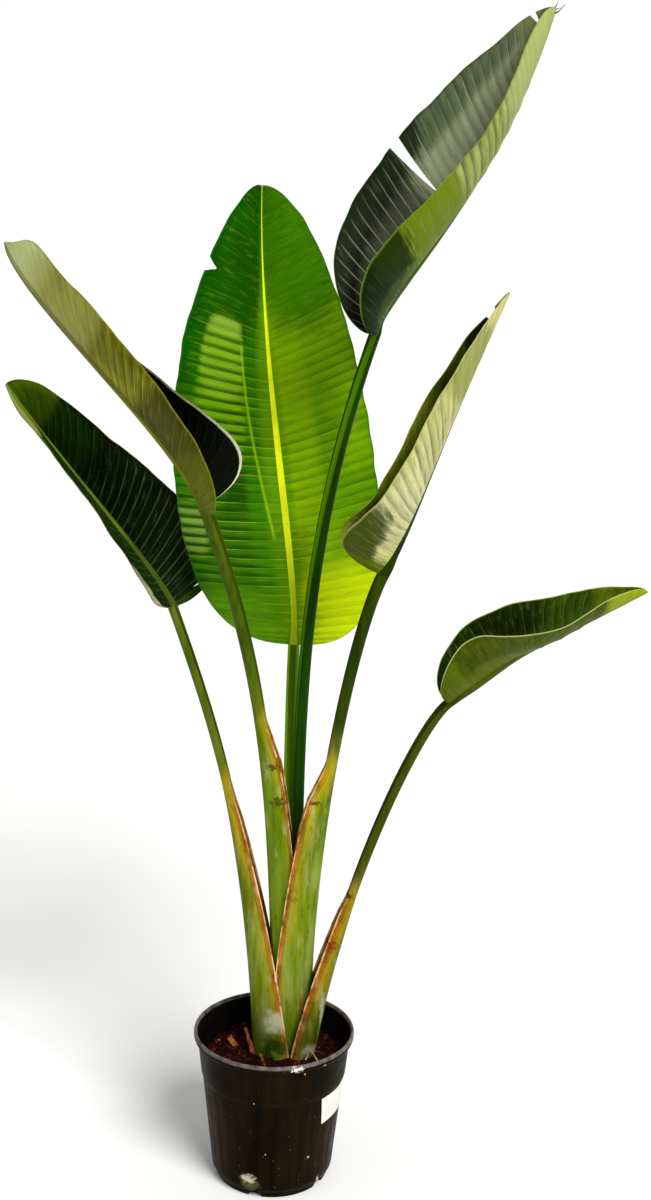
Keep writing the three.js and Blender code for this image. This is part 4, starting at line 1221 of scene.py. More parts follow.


# %% Palette of the blades
# Each face has the deep and the bright green of its left and of its right half, its veins and its margin.
# A zone has its place and half size across and along, its colour, its strength and its softness, and
# where it is striped, how strongly; the zones that are painted light and shade are noted at each leaf. A
# highlight stroke is a painted highlight that runs from one place to another and has a width and a colour.
BLADE_COLOURS = {
    "centre": {
        # Painted light on this face: its darker left half is painted shade, and the lime zone low on the
        # right, the pale striped lobe and patches on the left half and the highlight stroke are painted
        # sunlight.
        "upper": dict(
            left=((0, 74, 1), (6, 90, 1)), right=((98, 160, 3), (128, 182, 4)), vein=(172, 212, 36),
            edge=(40, 100, 6), vein_strength=0.5, slope_shade=0.42, fine_strength=0.05, quiet=0.05,
            tip_fade=(0.4, 0.62), streaky=(0.14, 0.22),
            zones=(
                (0.14, 0.3, 0.3, 0.34, (142, 192, 2), 0.8, 0.7),
                (0.6, 0.06, 0.7, 0.11, (206, 234, 8), 0.95, 0.6),
                (-0.12, 0.3, 0.22, 0.26, (56, 130, 1), 0.7, 0.7, 0.3),
                (-0.5, 0.04, 0.8, 0.1, (100, 164, 6), 0.9, 0.6),
                (-0.5, 0.17, 0.7, 0.1, (60, 122, 8), 0.7, 0.7, 0.8),
                (-0.85, 0.35, 0.3, 0.1, (60, 126, 3), 0.7, 0.7, 0.8),
                (-0.56, 0.44, 0.25, 0.11, (104, 160, 8), 0.95, 0.5, 0.95),
                (-0.56, 0.5, 0.23, 0.06, (128, 174, 34), 0.75, 0.35, 0.8),
                (-0.56, 0.545, 0.2, 0.012, (146, 186, 66), 0.6, 0.7),
                (-0.92, 0.235, 0.15, 0.04, (140, 170, 70), 0.8, 0.7, 0.95),
                (0.55, 0.68, 0.6, 0.14, (48, 124, 2), 0.85, 0.6),
            ),
            highlight_strokes=(
                (-0.12, -0.76, 0.22, 0.53, 0.024, (150, 194, 20)),
            )),
        "under": dict(
            left=((44, 92, 14), (70, 118, 26)), right=((44, 92, 14), (70, 118, 26)), vein=(140, 172, 80),
            edge=(100, 124, 40)),
    },
    "upper_left": {
        # Its near-black upper face is painted shade inside the fold.
        "upper": dict(
            left=((9, 12, 6), (15, 22, 7)), right=((9, 12, 6), (15, 22, 7)), vein=(50, 66, 30),
            edge=(255, 255, 226), edge_strength=1.0, edge_start=0.93, vein_strength=0.2,
            fine_strength=0.03, streaky=(0.12, 0.5)),
        "under": dict(
            left=((102, 104, 2), (140, 138, 18)), right=((60, 72, 6), (90, 98, 14)), vein=(190, 184, 72),
            edge=(130, 130, 34), vein_strength=0.5, fine_strength=0.2, slope_shade=0.36, quiet=0.7,
            streaky=(0.3, 0.6),
            zones=(
                # The pale zone at the tip is painted light.
                (-0.4, 0.52, 1.6, 0.08, (190, 201, 136), 0.95, 0.9),
                (-0.6, 0.4, 0.6, 0.06, (158, 160, 84), 0.5, 0.8),
                (-0.6, 0.17, 0.5, 0.07, (54, 60, 3), 0.85, 0.8),
                (-0.5, 0.05, 0.8, 0.09, (88, 101, 1), 0.95, 0.6),
                (-0.1, 0.3, 0.2, 0.3, (70, 74, 3), 0.7, 0.7),
            )),
    },
    "lower_left": {
        # Its near-black upper greens are painted shade.
        "upper": dict(
            left=((12, 38, 5), (20, 58, 7)), right=((6, 17, 3), (12, 33, 5)), vein=(112, 132, 80),
            edge=(24, 42, 12), vein_strength=0.45, fine_strength=0.03, slope_shade=0.25,
            streaky=(0.2, 0.5),
            zones=(
                (-0.65, 0.44, 0.6, 0.06, (176, 186, 96), 0.95, 0.4),
                (-1.0, 0.05, 0.36, 0.085, (226, 222, 172), 1.0, 0.5),
                (0.5, 0.45, 0.9, 0.055, (92, 120, 2), 0.9, 0.5),
                (0.4, 0.38, 0.5, 0.07, (22, 58, 4), 0.8, 0.7, 0.4),
                (0.6, 0.0, 0.6, 0.04, (36, 64, 6), 0.8, 0.5),
            )),
        "under": dict(
            left=((16, 44, 6), (30, 66, 10)), right=((40, 70, 14), (60, 90, 20)), vein=(120, 140, 70),
            edge=(120, 140, 50),
            zones=(
                (-0.65, 0.44, 0.6, 0.06, (176, 186, 96), 0.95, 0.4),
                (-1.0, 0.05, 0.36, 0.085, (226, 222, 172), 1.0, 0.5),
            )),
    },
    "top_right": {
        # The grey green of the left half, palest in the zone near the midrib, is a painted sheen, and its
        # near-black zones at the base and the margin are painted shade.
        "upper": dict(
            left=((150, 162, 116), (172, 184, 136)), right=((16, 50, 4), (26, 70, 8)),
            vein=(220, 224, 196), edge=(26, 36, 14), vein_strength=0.55, fine_strength=0.03,
            slope_shade=0.45, chance_shade=0.2, quiet=0.25, streaky=(0.12, 0.4),
            zones=(
                (-0.15, 0.36, 0.45, 0.3, (196, 206, 164), 0.8, 0.9),
                (-1.0, 0.4, 0.35, 0.4, (92, 112, 74), 0.75, 0.9),
                (-0.7, 0.1, 0.9, 0.17, (11, 20, 5), 1.0, 0.45),
                (-1.0, 0.24, 0.3, 0.08, (14, 22, 5), 0.95, 0.5),
                (-0.8, 0.54, 0.5, 0.04, (150, 160, 100), 0.8, 0.5),
            )),
        "under": dict(
            left=((80, 100, 30), (110, 130, 50)), right=((148, 163, 72), (172, 184, 98)),
            vein=(220, 226, 160), edge=(112, 136, 44), vein_strength=0.6, slope_shade=0.6,
            fine_strength=0.14, quiet=0.9,
            zones=(
                (0.5, 0.53, 1.2, 0.12, (166, 177, 106), 0.9, 0.8),
                (0.6, 0.22, 0.9, 0.08, (114, 134, 6), 0.9, 0.5),
                # Painted shade: the deep green base lobe of the right half.
                (0.82, 0.05, 0.6, 0.15, (8, 33, 1), 1.0, 0.25),
                (0.2, 0.07, 0.3, 0.12, (64, 86, 6), 0.8, 0.5),
            )),
    },
    "right": {
        "upper": dict(
            left=((56, 76, 6), (88, 108, 16)), right=((20, 50, 4), (30, 70, 8)), vein=(110, 120, 50),
            edge=(60, 76, 20),
            zones=(
                (-0.5, 0.45, 1.0, 0.05, (20, 34, 4), 0.8, 0.5),
                (-0.7, 0.15, 0.8, 0.16, (170, 186, 40), 0.9, 0.7),
            )),
        "under": dict(
            left=((70, 84, 12), (96, 110, 26)), right=((202, 205, 120), (230, 230, 162)),
            vein=(244, 245, 204), edge=(176, 180, 104), vein_strength=0.5, slope_shade=0.5,
            chance_shade=0.22, width=0.3, quiet=0.85, fine_strength=0.1,
            zones=(
                (0.6, 0.49, 1.2, 0.05, (206, 200, 132), 0.9, 0.8),
                (0.6, 0.385, 1.0, 0.05, (140, 150, 60), 0.75, 0.8, 0.4),
                (0.95, 0.03, 0.52, 0.125, (66, 79, 1), 1.0, 0.45),
                (0.3, -0.01, 0.9, 0.06, (88, 100, 1), 1.0, 0.6),
            )),
    },
    "lower_right": {
        "upper": dict(
            left=((62, 104, 3), (96, 136, 10)), right=((60, 100, 4), (90, 130, 12)),
            vein=(190, 204, 130), edge=(140, 164, 50), vein_strength=0.4, fine_strength=0.06,
            slope_shade=0.3,
            zones=(
                (-0.6, 0.36, 1.2, 0.05, (150, 180, 14), 0.9, 0.6),
                (-0.8, 0.1, 0.7, 0.13, (32, 56, 1), 0.85, 0.6),
            )),
        # The cream edge of the underside is a painted highlight along its margin.
        "under": dict(
            left=((70, 100, 14), (100, 124, 26)), right=((58, 80, 1), (87, 98, 4)), vein=(120, 132, 12),
            edge=(214, 222, 140), vein_strength=0.25, edge_strength=0.75, fine_strength=0.06,
            slope_shade=0.2, edge_start=0.975,
            zones=(
                (0.1, 0.2, 0.35, 0.3, (101, 110, 3), 0.7, 0.6),
                (0.7, 0.02, 0.6, 0.06, (86, 104, 10), 0.7, 0.5),
                (0.6, 0.37, 1.2, 0.05, (156, 170, 20), 0.9, 0.6),
            )),
    },
}
print("blade palettes:", len(BLADE_COLOURS))

# %% Dress the blades
for name, blade in blades.items():
    upper, under = BLADE_COLOURS[name]["upper"], BLADE_COLOURS[name]["under"]
    dress(blade,
          blade_finish(f"{name}_upper_face", gloss=0.38, **upper),
          blade_finish(f"{name}_under_face", gloss=0.5, **under),
          blade_finish(f"{name}_rim", under["left"], under["right"], under["edge"], under["edge"],
                       vein_strength=0.1))
    apply_all(blade)
    smooth(blade, 50)
    finish_piece(blade, "blade_green", "blade_" + name)

# %% [markdown]
# ## Stalks and sheaths
#
# Each stalk is a green rod with a shallow channel on one side. Towards the ground the channel opens and its
# edges spread into a wide sheath that clasps the younger stalks. A bevelled curve keeps one section all the
# way up, but here the section is a crescent whose numbers change with height. So a grid is rolled round the
# stalk's line: a thin bare stem above, a broad clasping sheath below.

# %% Stalk section, in millimetres and degrees
STALK_DEPTH, STALK_GROOVE = 18, 3
MARGIN_ANGLES = (140, 112)
STALK_LIP, SHEATH_BACK, LEAST_WALL = 1.1, 9, 3
BACK_STEPS, CHANNEL_STEPS = 30, 14


def way_to_ends(track):
    """For each point of every section, the shorter way along it to one of its ends."""
    steps = np.linalg.norm(np.diff(track, axis=1), axis=2)
    walked = np.concatenate([np.zeros((len(track), 1)), np.cumsum(steps, axis=1)], axis=1)
    return np.minimum(walked, walked[:, -1:] - walked)


def stalk_section(leaf, closure):
    """Crescents in (opening, sideways) coordinates, and how far each point lies from the margins."""
    sheath = leaf["sheath"]
    stem = leaf["stem"]
    swell = closure ** sheath["swell"] * np.minimum(1, closure / 0.12) ** 0.7
    reach = between((stem, sheath["reach"]), swell)[:, None]
    half_width = between((stem / 2, sheath["half_width"]), closure ** 0.8)[:, None]
    flattened = np.minimum(1, closure * 4)
    behind = between((stem, STALK_DEPTH), flattened)[:, None] / 2
    margin_angle = np.radians(between(MARGIN_ANGLES, flattened))[:, None]
    hollowed = np.minimum(1, closure * 1.6) ** 0.8
    groove = between((STALK_GROOVE, sheath["reach"] - SHEATH_BACK), hollowed)[:, None]
    radius = reach / (1 - np.cos(margin_angle))
    angle = margin_angle * (1 - 2 * np.linspace(0, 1, BACK_STEPS + 1)[None, :])
    back = np.stack([radius - behind - radius * np.cos(angle), half_width * np.sin(angle)], axis=2)
    margin = back[:, -1:]
    channel = np.minimum(groove, reach - LEAST_WALL)
    sweep = np.radians(90 - 180 * np.linspace(0, 1, CHANNEL_STEPS + 1))[None, :]
    out = margin[..., 0] - channel * np.cos(sweep)
    inside = np.stack([out, (margin[..., 1] + STALK_LIP) * np.sin(sweep)], axis=2)
    to_margin = np.concatenate([way_to_ends(back), -way_to_ends(inside)], axis=1)
    return np.concatenate([back, inside], axis=1), to_margin


def stand_sections(middle, axes, turn, section):
    """Stands the flat sections across a line, each turned about it by its angle."""
    along, front, right = axes
    opening = right * np.cos(turn) + front * np.sin(turn)
    sideways = np.cross(along, opening)
    return middle[:, None] + opening[:, None] * section[..., :1] + sideways[:, None] * section[..., 1:]


# %% Tube from a rolled grid
def roll_grid(name, rings, ring_map):
    """Turns a grid into a closed tube through rings of points, in millimetres."""
    stations, around = rings.shape[:2]
    deselect_all()
    bpy.ops.mesh.primitive_grid_add(x_subdivisions=around, y_subdivisions=stations - 1, size=1)
    tube = name_piece(name)
    flat = read_points(tube)
    column = np.rint((flat[:, 0] + 0.5) * around).astype(int)
    row = np.rint((flat[:, 1] + 0.5) * (stations - 1)).astype(int)
    write_points(tube, MM * rings[row, column % around])
    write_map(tube, "skin", ring_map[row, np.minimum(column, ring_map.shape[1] - 1)])
    bpy.ops.object.mode_set(mode="EDIT")
    bpy.ops.mesh.select_all(action="SELECT")
    bpy.ops.mesh.remove_doubles(threshold=0.005 * MM)
    bpy.ops.mesh.select_all(action="DESELECT")
    bpy.ops.mesh.select_mode(type="EDGE")
    bpy.ops.mesh.select_non_manifold()
    bpy.ops.mesh.fill_holes(sides=0)
    bpy.ops.mesh.select_all(action="SELECT")
    bpy.ops.mesh.normals_make_consistent(inside=False)
    bpy.ops.object.mode_set(mode="OBJECT")
    return tube


# %% Stalks
STALK_STATIONS, FOOT_HEIGHT = 170, 150


def fold_angle(leaf):
    """Degrees between the fan's plane and the line that halves the fold at the blade's base."""
    return (180 + leaf["right"]["rise"][0] - leaf["left"]["rise"][0]) / 2


def make_stalk(name, leaf):
    top = np.array(leaf["midrib"][0], float)
    approach = top - frame_along(leaf["midrib"], np.zeros(1))[0][0] * leaf["arch"]
    corners = np.array([leaf["foot"], leaf["bend"], approach, top], float)
    t = np.linspace(0, 1, STALK_STATIONS + 1)
    centre = bezier(corners, t)
    turn = np.radians(between((leaf["opens"], fold_angle(leaf)), t ** 2))[:, None]
    sheath_top = leaf["sheath"]["top"]
    closure = np.clip((sheath_top - centre[:, 2]) / (sheath_top - FOOT_HEIGHT), 0, 1)
    section, to_margin = stalk_section(leaf, closure)
    rings = stand_sections(centre, frame_along(corners, t), turn, section)
    closed_margin = np.concatenate([to_margin, to_margin[:, :1]], axis=1) * MM
    height = np.broadcast_to(centre[:, 2:] * MM, closed_margin.shape)
    stalk = roll_grid("stalk_" + name + "_stem", rings, np.stack([closed_margin, height], axis=2))
    smooth(stalk, 50)
    return stalk


stalks = {name: make_stalk(name, leaf) for name, leaf in LEAVES.items()}
print("stalks:", len(stalks))

# %% [markdown]
# ## Midribs
#
# The midrib is the stalk's last stretch. Above it shows as a pale, slightly hollow band between the two
# halves, below as a strong round keel that thins out to the tip. It could be a tapered curve, but it has to
# meet both halves of the blade along its whole length. So another grid is rolled into a tube: its section
# starts at the right edge, rounds the keel, climbs to the left edge and crosses the hollow.

# %% Midrib section
RIB_DEPTH = (13, 1.4)
RIB_BODY, RIB_PROUD, RIB_CROWN = 1.3, 0.35, 0.8
KEEL_STEPS, HOLLOW_STEPS = BACK_STEPS, CHANNEL_STEPS


def arc(start, first, second, end, steps):
    """Points of a Bezier curve between rows of corners, one curve for every station."""
    s = np.linspace(0, 1, steps + 1)[None, :, None]
    parts = (1 - s) ** 3 * start[:, None], 3 * s * (1 - s) ** 2 * first[:, None]
    return parts[0] + parts[1] + 3 * s ** 2 * (1 - s) * second[:, None] + s ** 3 * end[:, None]


def rib_section(leaf, t):
    """Rings of points round the midrib: the keel from right to left, then the hollow back again."""
    middle = bezier(leaf["midrib"], t)
    rib = rib_half_width(leaf, t)
    depth = between((leaf.get("keel", RIB_DEPTH[0]), RIB_DEPTH[1]), t)[:, None]
    reach = [blade_reach(leaf, t, np.full_like(t, side)) for side in (-1, 1)]
    left_place, left_facing = blade_point(leaf, t, -rib / reach[0])
    right_place, right_facing = blade_point(leaf, t, rib / reach[1])
    start = np.full_like(t, 1e-6)
    bisector = unit(blade_point(leaf, t, -start)[1] + blade_point(leaf, t, start)[1])
    sideways = np.cross(frame_along(leaf["midrib"], t)[0], bisector)
    keel = middle - bisector * depth
    round_by = sideways * np.minimum(rib, depth[:, 0] * 0.6)[:, None] * 0.8
    steep = bisector * depth * 0.35
    left_low = left_place - left_facing * RIB_BODY
    right_low = right_place - right_facing * RIB_BODY
    lower_right = arc(right_low, right_low - steep, keel + round_by, keel, KEEL_STEPS // 2)
    lower_left = arc(keel, keel - round_by, left_low - steep, left_low, KEEL_STEPS // 2)
    left_top = left_place + left_facing * RIB_PROUD
    right_top = right_place + right_facing * RIB_PROUD
    hollow = middle + bisector * RIB_CROWN
    top = arc(left_top, between((left_top, hollow), 0.7), between((right_top, hollow), 0.7), right_top,
              HOLLOW_STEPS)
    return np.concatenate([lower_right, lower_left[:, 1:], top], axis=1)


# %% Midribs
RIB_STATIONS, RIB_START = 240, 0.1


def stem_rings(leaf, t):
    """The bare stalk's section, carried on along the midrib."""
    section = stalk_section(leaf, np.zeros_like(t))[0]
    line = leaf["midrib"]
    return stand_sections(bezier(line, t), frame_along(line, t), math.radians(fold_angle(leaf)), section)


def make_midrib(name, leaf):
    t = np.linspace(0, 1, RIB_STATIONS + 1)
    grown = np.clip(t / RIB_START, 0, 1)
    grown = (grown ** 2 * (3 - 2 * grown))[:, None, None]
    rings = stem_rings(leaf, t) * (1 - grown) + rib_section(leaf, t) * grown
    metres = np.concatenate([[0], np.cumsum(np.linalg.norm(np.diff(rings[:, 0], axis=0), axis=1))]) * MM
    on_top = (np.arange(rings.shape[1] + 1) > KEEL_STEPS).astype(float)
    ring_map = np.stack(np.broadcast_arrays(on_top[None, :], metres[:, None]), axis=2)
    rib = roll_grid("blade_" + name + "_midrib", rings, ring_map)
    smooth(rib, 60)
    return rib


midribs = {name: make_midrib(name, leaf) for name, leaf in LEAVES.items()}
print("midribs:", len(midribs))

# %% [markdown]
# ## Midrib colours
#
# A midrib is paler above than below, and turns from the stem's green at its foot to the blade's green at its
# tip. Two materials would need a hard border between faces, so one finish blends four greens on the skin
# map, whose first number tells above from below and whose second counts metres from the foot.

# %% Midrib finishes
DEEPER = (0, 0.01, 0, 1)


def rib_finish(name, top, keel, tip, stem):
    skin, tree, shader = new_finish(name, 0.42, Specular_IOR_Level=0.03, Specular_Tint=WAXY_SHEEN)
    skin_map = parts_of(tree, own_map(tree, "skin"))
    soft = patches(tree, 24.0, 0.35, 0.7)
    below = tint(tree, soft, paint(*keel), tint(tree, 0.35, paint(*keel), DEEPER))
    below = lay(tree, below, ramp(tree, skin_map["Y"], 0.05, 0.0), 1.0, stem)
    above = lay(tree, paint(*top), soft, 0.3, keel)
    above = lay(tree, above, ramp(tree, skin_map["Y"], 0.3, 0.03, 0.0, 0.7), 1.0, keel)
    colour = tint(tree, skin_map["X"], below, above)
    set_colour(tree, shader, lay(tree, colour, ramp(tree, skin_map["Y"], 0.35, 0.75), 1.0, tip))
    set_bump(tree, shader, cloud(tree, 500.0, 3), 0.0003, 0.5)
    return skin


# Greens above, below, at the tip and at the foot.
RIB_COLOURS = {
    "centre": ((252, 255, 24), (120, 160, 20), (214, 242, 34), (96, 130, 10)),
    "upper_left": ((60, 72, 16), (118, 120, 24), (160, 168, 100), (84, 100, 22)),
    "lower_left": ((128, 150, 44), (18, 40, 6), (120, 142, 40), (84, 98, 24)),
    "top_right": ((60, 76, 30), (70, 96, 16), (170, 180, 110), (18, 52, 5)),
    "right": ((40, 56, 12), (30, 50, 6), (150, 150, 90), (34, 50, 4)),
    "lower_right": ((70, 90, 16), (84, 96, 10), (150, 166, 40), (50, 56, 8)),
}
for name, rib in midribs.items():
    dress(rib, rib_finish(name + "_midrib", *RIB_COLOURS[name]))
    finish_piece(rib, "blade_green", "blade_" + name)

# %% [markdown]
# ## Stalk colours
#
# The stem is green and smooth. On the sheath a pale waxy bloom lies over the green, its edges dry to orange
# brown with a bright papery rim, and its top turns yellow. A border drawn on an image would slide off such a
# bent edge. The skin map tells how far a point is from the edge and how high it stands, so the dry border
# follows the sheath wherever it bends. Old scars are marks, placed in metres, and so is one painted highlight
# at the foot of a sheath. Low down, near the mix, every stalk is darkened with painted shade.

# %% Stalk palette
WAX, YELLOWED, WARMED = (146, 157, 76), (200, 186, 24), (178, 136, 20)
SEAM, BROWNED = (70, 36, 10), (112, 58, 14)
PORES, FILM, GROUND_SHADE = (52, 52, 10), (190, 188, 130), (22, 28, 2)


# %% Stalk ground: bare stem, sheath and channel
def stalk_masks(tree, leaf):
    """Where the sheath, its top and its inner side are, and how far the nearest edge is."""
    skin_map = parts_of(tree, own_map(tree, "skin"))
    height = skin_map["Y"]
    top = leaf["sheath"]["top"] * MM
    below_top = ramp(tree, height, top + 0.03, top - 0.01)
    return {
        "height": height,
        "to margin": calc(tree, "ABSOLUTE", skin_map["X"]),
        "inner side": ramp(tree, skin_map["X"], 0.0, -0.001),
        "on sheath": ramp(tree, height, top + 0.08, top - 0.1),
        "near top": both(tree, ramp(tree, height, top - 0.2, top - 0.05), below_top),
        "can dry": ramp(tree, height, top + 0.03, top - 0.06),
    }


def stalk_ground(tree, where, soft, deep, bright, stem, channel):
    lines = patches(tree, 120.0, 0.35, 0.65, (1, 1, 0.05))
    streaky = calc(tree, "MULTIPLY_ADD", lines, 0.45, both(tree, soft, 0.55))
    bare = tint(tree, streaky, paint(*stem[0]), paint(*stem[1]))
    sheath = tint(tree, streaky, paint(*deep), paint(*bright))
    colour = tint(tree, where["on sheath"], bare, sheath)
    return lay(tree, colour, where["inner side"], 0.8, channel)


# %% Stalk layers: wax, warm edges and the dry border
def lay_wax(tree, colour, where, bloom, dry_width, yellow):
    on_sheath = where["on sheath"]
    waxy = patches(tree, 44.0, 0.42, 0.62, (1, 1, 0.16))
    colour = lay(tree, colour, both(tree, waxy, on_sheath), bloom, WAX)
    near_edge = ramp(tree, where["to margin"], dry_width * 3.6, dry_width * 0.4)
    colour = lay(tree, colour, both(tree, where["near top"], near_edge), yellow, YELLOWED)
    blotches = patches(tree, 30.0, 0.35, 0.6, (1, 1, 0.4))
    return lay(tree, colour, both(tree, near_edge, on_sheath, blotches), 0.6, WARMED)


def lay_dry_border(tree, colour, where, dry_width, dry, papery):
    """The dried strip along the edge, the dark seam that ends it and its pale papery rim."""
    border = calc(tree, "MULTIPLY_ADD", cloud(tree, 40.0, 4), 0.007, -0.0035)
    border = calc(tree, "ADD", where["to margin"], border)
    dried = both(tree, ramp(tree, border, dry_width * 1.1, dry_width * 0.6), where["can dry"], 0.9)
    shaded = tint(tree, patches(tree, 36.0, 0.4, 0.66), paint(*dry), paint(*BROWNED))
    colour = tint(tree, dried, colour, shaded)
    off_seam = calc(tree, "ABSOLUTE", calc(tree, "SUBTRACT", border, dry_width))
    colour = lay(tree, colour, both(tree, ramp(tree, off_seam, 0.001, 0.0002), where["can dry"]), 0.55, SEAM)
    edge = both(tree, ramp(tree, border, dry_width * 0.34, dry_width * 0.05), where["can dry"])
    return lay(tree, colour, both(tree, edge, patches(tree, 45.0, 0.36, 0.56)), 0.9, papery)


# %% Stalk finish maker
def stalk_finish(name, leaf, deep, bright, stem, channel, bloom=0.5, dry_width=0.006, dry=(170, 100, 30),
                 papery=(232, 196, 138), yellow=0.6, marks=()):
    """Layers one stalk; widths are in metres, and bloom and yellow say how strong those layers are."""
    skin, tree, shader = new_finish(name, 0.4, Specular_IOR_Level=0.04, Specular_Tint=WAXY_SHEEN)
    where = stalk_masks(tree, leaf)
    soft = patches(tree, 26.0, 0.35, 0.65, (1, 1, 0.2))
    colour = stalk_ground(tree, where, soft, deep, bright, stem, channel)
    colour = lay_wax(tree, colour, where, bloom, dry_width, yellow)
    colour = lay_dry_border(tree, colour, where, dry_width, dry, papery)
    pores = both(tree, patches(tree, 210.0, 0.56, 0.7, (1, 1, 0.3)), where["on sheath"])
    colour = lay(tree, colour, pores, 0.35, PORES)
    film = both(tree, patches(tree, 80.0, 0.55, 0.72, (1, 1, 0.25)), where["on sheath"])
    colour = lay(tree, colour, film, 0.3, FILM)
    colour = lay(tree, colour, ramp(tree, where["height"], 0.33, 0.2), 0.32, GROUND_SHADE)
    colour = lay_marks(tree, colour, marks)
    set_colour(tree, shader, colour, ramp(tree, soft, 0, 1, 0.34, 0.5))
    set_bump(tree, shader, cloud(tree, 160.0, 3, (1, 1, 0.06)), 0.0008, 0.5)
    return skin


# %% Stalk colours and marks
SCAR, RED_SCAR = (58, 32, 6), (124, 40, 14)
WHITISH, GREYED, MOSSY = (206, 206, 178), (96, 84, 60), (24, 46, 4)
SOFT, RAGGED = (0.45, 60.0), (0.9, 300.0)
STALK_COLOURS = {
    "centre": dict(
        deep=(66, 106, 3), bright=(108, 150, 6), stem=((84, 128, 3), (120, 166, 10)), channel=(50, 84, 2),
        bloom=0.0, yellow=0.2),
    "upper_left": dict(
        deep=(70, 98, 2), bright=(112, 136, 6), stem=((52, 74, 5), (82, 102, 16)), channel=(46, 60, 4),
        bloom=0.15, dry_width=0.005, dry=(150, 92, 30), yellow=0.4,
        marks=(((-0.0095, -0.02, 0.678), (0.011, 0.04, 0.006), SCAR, 0.85, RAGGED),
               ((0.001, -0.02, 0.6215), (0.012, 0.04, 0.009), SCAR, 0.8, RAGGED))),
    "lower_left": dict(
        deep=(64, 84, 3), bright=(108, 126, 12), stem=((68, 90, 10), (104, 120, 32)), channel=(56, 52, 6),
        bloom=0.45, dry_width=0.0078, dry=(160, 98, 36), yellow=0.5,
        # The first, whitish mark is a painted highlight at the sheath's foot.
        marks=(((0.002, -0.03, 0.262), (0.024, 0.05, 0.02), WHITISH, 0.5, SOFT),
               ((-0.0215, -0.03, 0.26), (0.007, 0.05, 0.04), GREYED, 0.5, SOFT),
               ((-0.002, -0.03, 0.222), (0.024, 0.05, 0.022), MOSSY, 0.9, SOFT))),
    "top_right": dict(
        # Its bright channel colour is a painted highlight along the stalk's lit left edge.
        deep=(14, 48, 2), bright=(30, 72, 3), stem=((12, 44, 2), (28, 66, 3)), channel=(84, 134, 6),
        bloom=0.0, yellow=0.0, dry_width=0.001),
    "right": dict(
        deep=(74, 98, 6), bright=(122, 142, 22), stem=((28, 44, 2), (50, 68, 5)), channel=(40, 50, 4),
        bloom=0.6, dry_width=0.008, dry=(184, 104, 34), papery=(240, 200, 140), yellow=0.6,
        marks=(((0.0562, -0.02, 0.6276), (0.012, 0.04, 0.0035), SCAR, 0.9, RAGGED),
               ((0.0273, -0.02, 0.467), (0.006, 0.04, 0.005), RED_SCAR, 0.4, RAGGED))),
    "lower_right": dict(
        deep=(56, 72, 2), bright=(96, 106, 5), stem=((42, 54, 3), (66, 75, 10)), channel=(52, 50, 6),
        bloom=0.2, dry_width=0.0105, dry=(158, 82, 14), yellow=0.35,
        marks=(((0.109, -0.02, 0.475), (0.009, 0.04, 0.008), SCAR, 0.9, RAGGED),
               ((0.085, -0.02, 0.392), (0.01, 0.04, 0.011), RED_SCAR, 0.9, RAGGED),
               ((0.0569, -0.02, 0.215), (0.012, 0.04, 0.014), WHITISH, 0.35, SOFT),
               ((0.0743, -0.01, 0.262), (0.005, 0.04, 0.05), WHITISH, 0.45, SOFT))),
}

# %% Dress the stalks
for name, stalk in stalks.items():
    dress(stalk, stalk_finish(name + "_stem", LEAVES[name], **STALK_COLOURS[name]))
    finish_piece(stalk, "stalk_green", "stalk_" + name)

# %% [markdown]
# ## A dried tip
#
# The point of the tallest leaf has dried to a few dark threads. Hair particles would make many at once, but
# only four are needed, so they are thin rods, like the roots.

# %% Dry threads
THREADS = (((336, -66, 1741), (343, -68, 1752), (352, -70, 1756)),
           ((341, -67, 1746), (350, -69, 1751), (358, -72, 1760)),
           ((331, -63, 1738), (334, -64, 1748), (339, -65, 1757)),
           ((338, -66, 1748), (346, -67, 1757), (349, -69, 1763)))
threads = [rod(f"thread_{index}", path, (1.0, 0.8, 0.3), 0.5, 8) for index, path in enumerate(THREADS)]
threads = join_pieces(threads, "dry_tip_threads")
dress(threads, bark_finish("dry_leaf_brown", (22, 26, 8), (84, 70, 34), 400.0))
finish_piece(threads, "blade_green", "blade_top_right")

# %% [markdown]
# ## The studio
#
# The plant stands on a plain pale floor in soft light. Several small lamps would throw several hard shadows,
# so one broad sun gives a single soft one, and the pale world fills it. The world looks white to the camera
# but lights the plant less strongly. The camera looks slightly down at the fan from 2.4 m.

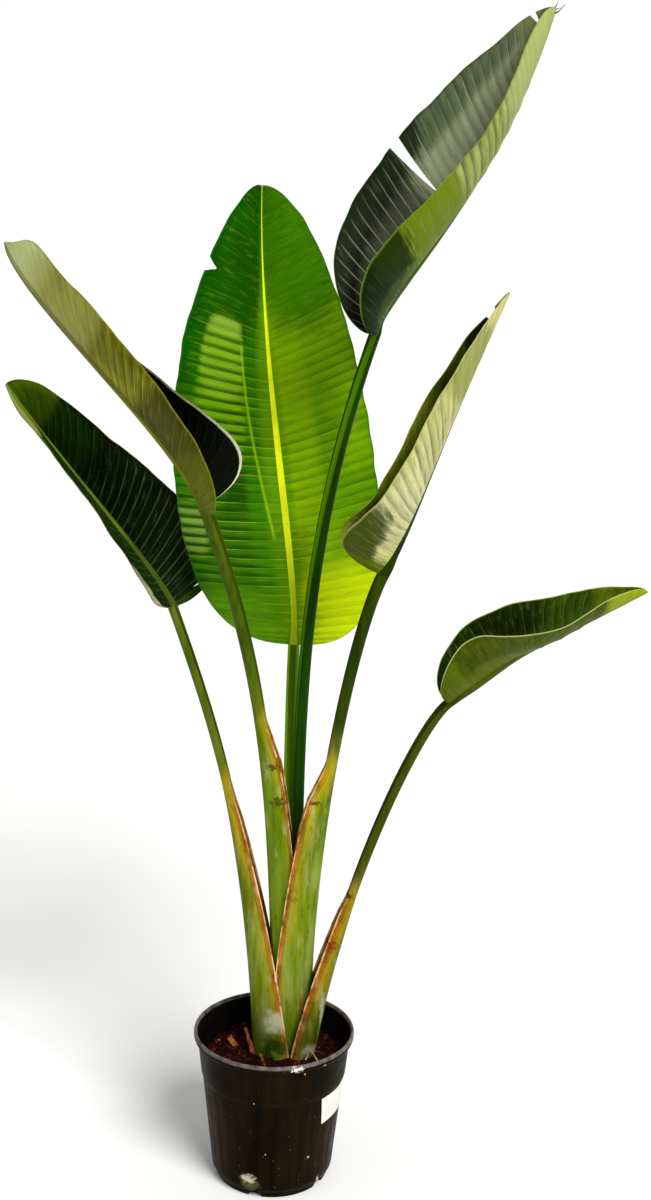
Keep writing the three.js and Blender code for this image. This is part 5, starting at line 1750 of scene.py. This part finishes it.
# %% Floor
deselect_all()
bpy.ops.mesh.primitive_plane_add(size=60)
floor = name_piece("floor")
pale, tree, shader = new_finish("pale_floor", 0.9)
colour = tint(tree, patches(tree, 0.8, 0.45, 0.6), paint(251, 252, 254), paint(253, 254, 255))
set_colour(tree, shader, colour)
dress(floor, pale)

# %% Light
WORLD_LIGHT, WORLD_HUE = 0.44, (1, 0.99, 0.965, 1)
SUN_TURN, SUN_LIGHT, SUN_WIDTH, SUN_HUE = (42, 18, 14), 3.0, 28, (1, 0.99, 0.955)
world = bpy.data.worlds.new("studio")
bpy.context.scene.world = world
world.use_nodes = True
tree = world.node_tree
backdrop = tree.nodes["Background"]
seen = add_node(tree, "ShaderNodeLightPath").outputs["Is Camera Ray"]
feed(tree, backdrop.inputs["Color"], tint(tree, seen, WORLD_HUE, (1, 1, 1, 1)))
feed(tree, backdrop.inputs["Strength"], ramp(tree, seen, 0, 1, WORLD_LIGHT, 1.0))
bpy.ops.object.light_add(type="SUN", rotation=[math.radians(part) for part in SUN_TURN])
sun = bpy.context.object
sun.name = "broad_sun"
sun.data.energy = SUN_LIGHT
sun.data.angle = math.radians(SUN_WIDTH)
sun.data.color = SUN_HUE
bpy.context.scene.view_settings.view_transform = "Standard"
print("light:", sun.name, "and", world.name)

# %% Camera
CAMERA_PLACE, CAMERA_PITCH, CAMERA_ROLL = (0.064, -2.415, 1.535), 76, 1.4
LENS, SENSOR_HEIGHT = 51, 36
lens = bpy.data.cameras.new("camera")
lens.lens = LENS
lens.sensor_fit = "VERTICAL"
lens.sensor_height = SENSOR_HEIGHT
camera = bpy.data.objects.new("camera", lens)
bpy.context.scene.collection.objects.link(camera)
pitch = Matrix.Rotation(math.radians(CAMERA_PITCH), 4, "X")
roll = Matrix.Rotation(math.radians(CAMERA_ROLL), 4, "Z")
camera.matrix_world = Matrix.Translation(CAMERA_PLACE) @ pitch @ roll
bpy.context.scene.camera = camera
print("camera at", CAMERA_PLACE)

# %% Finish
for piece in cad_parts.values():
    if not piece.hide_render:
        print("left plain:", piece.name)
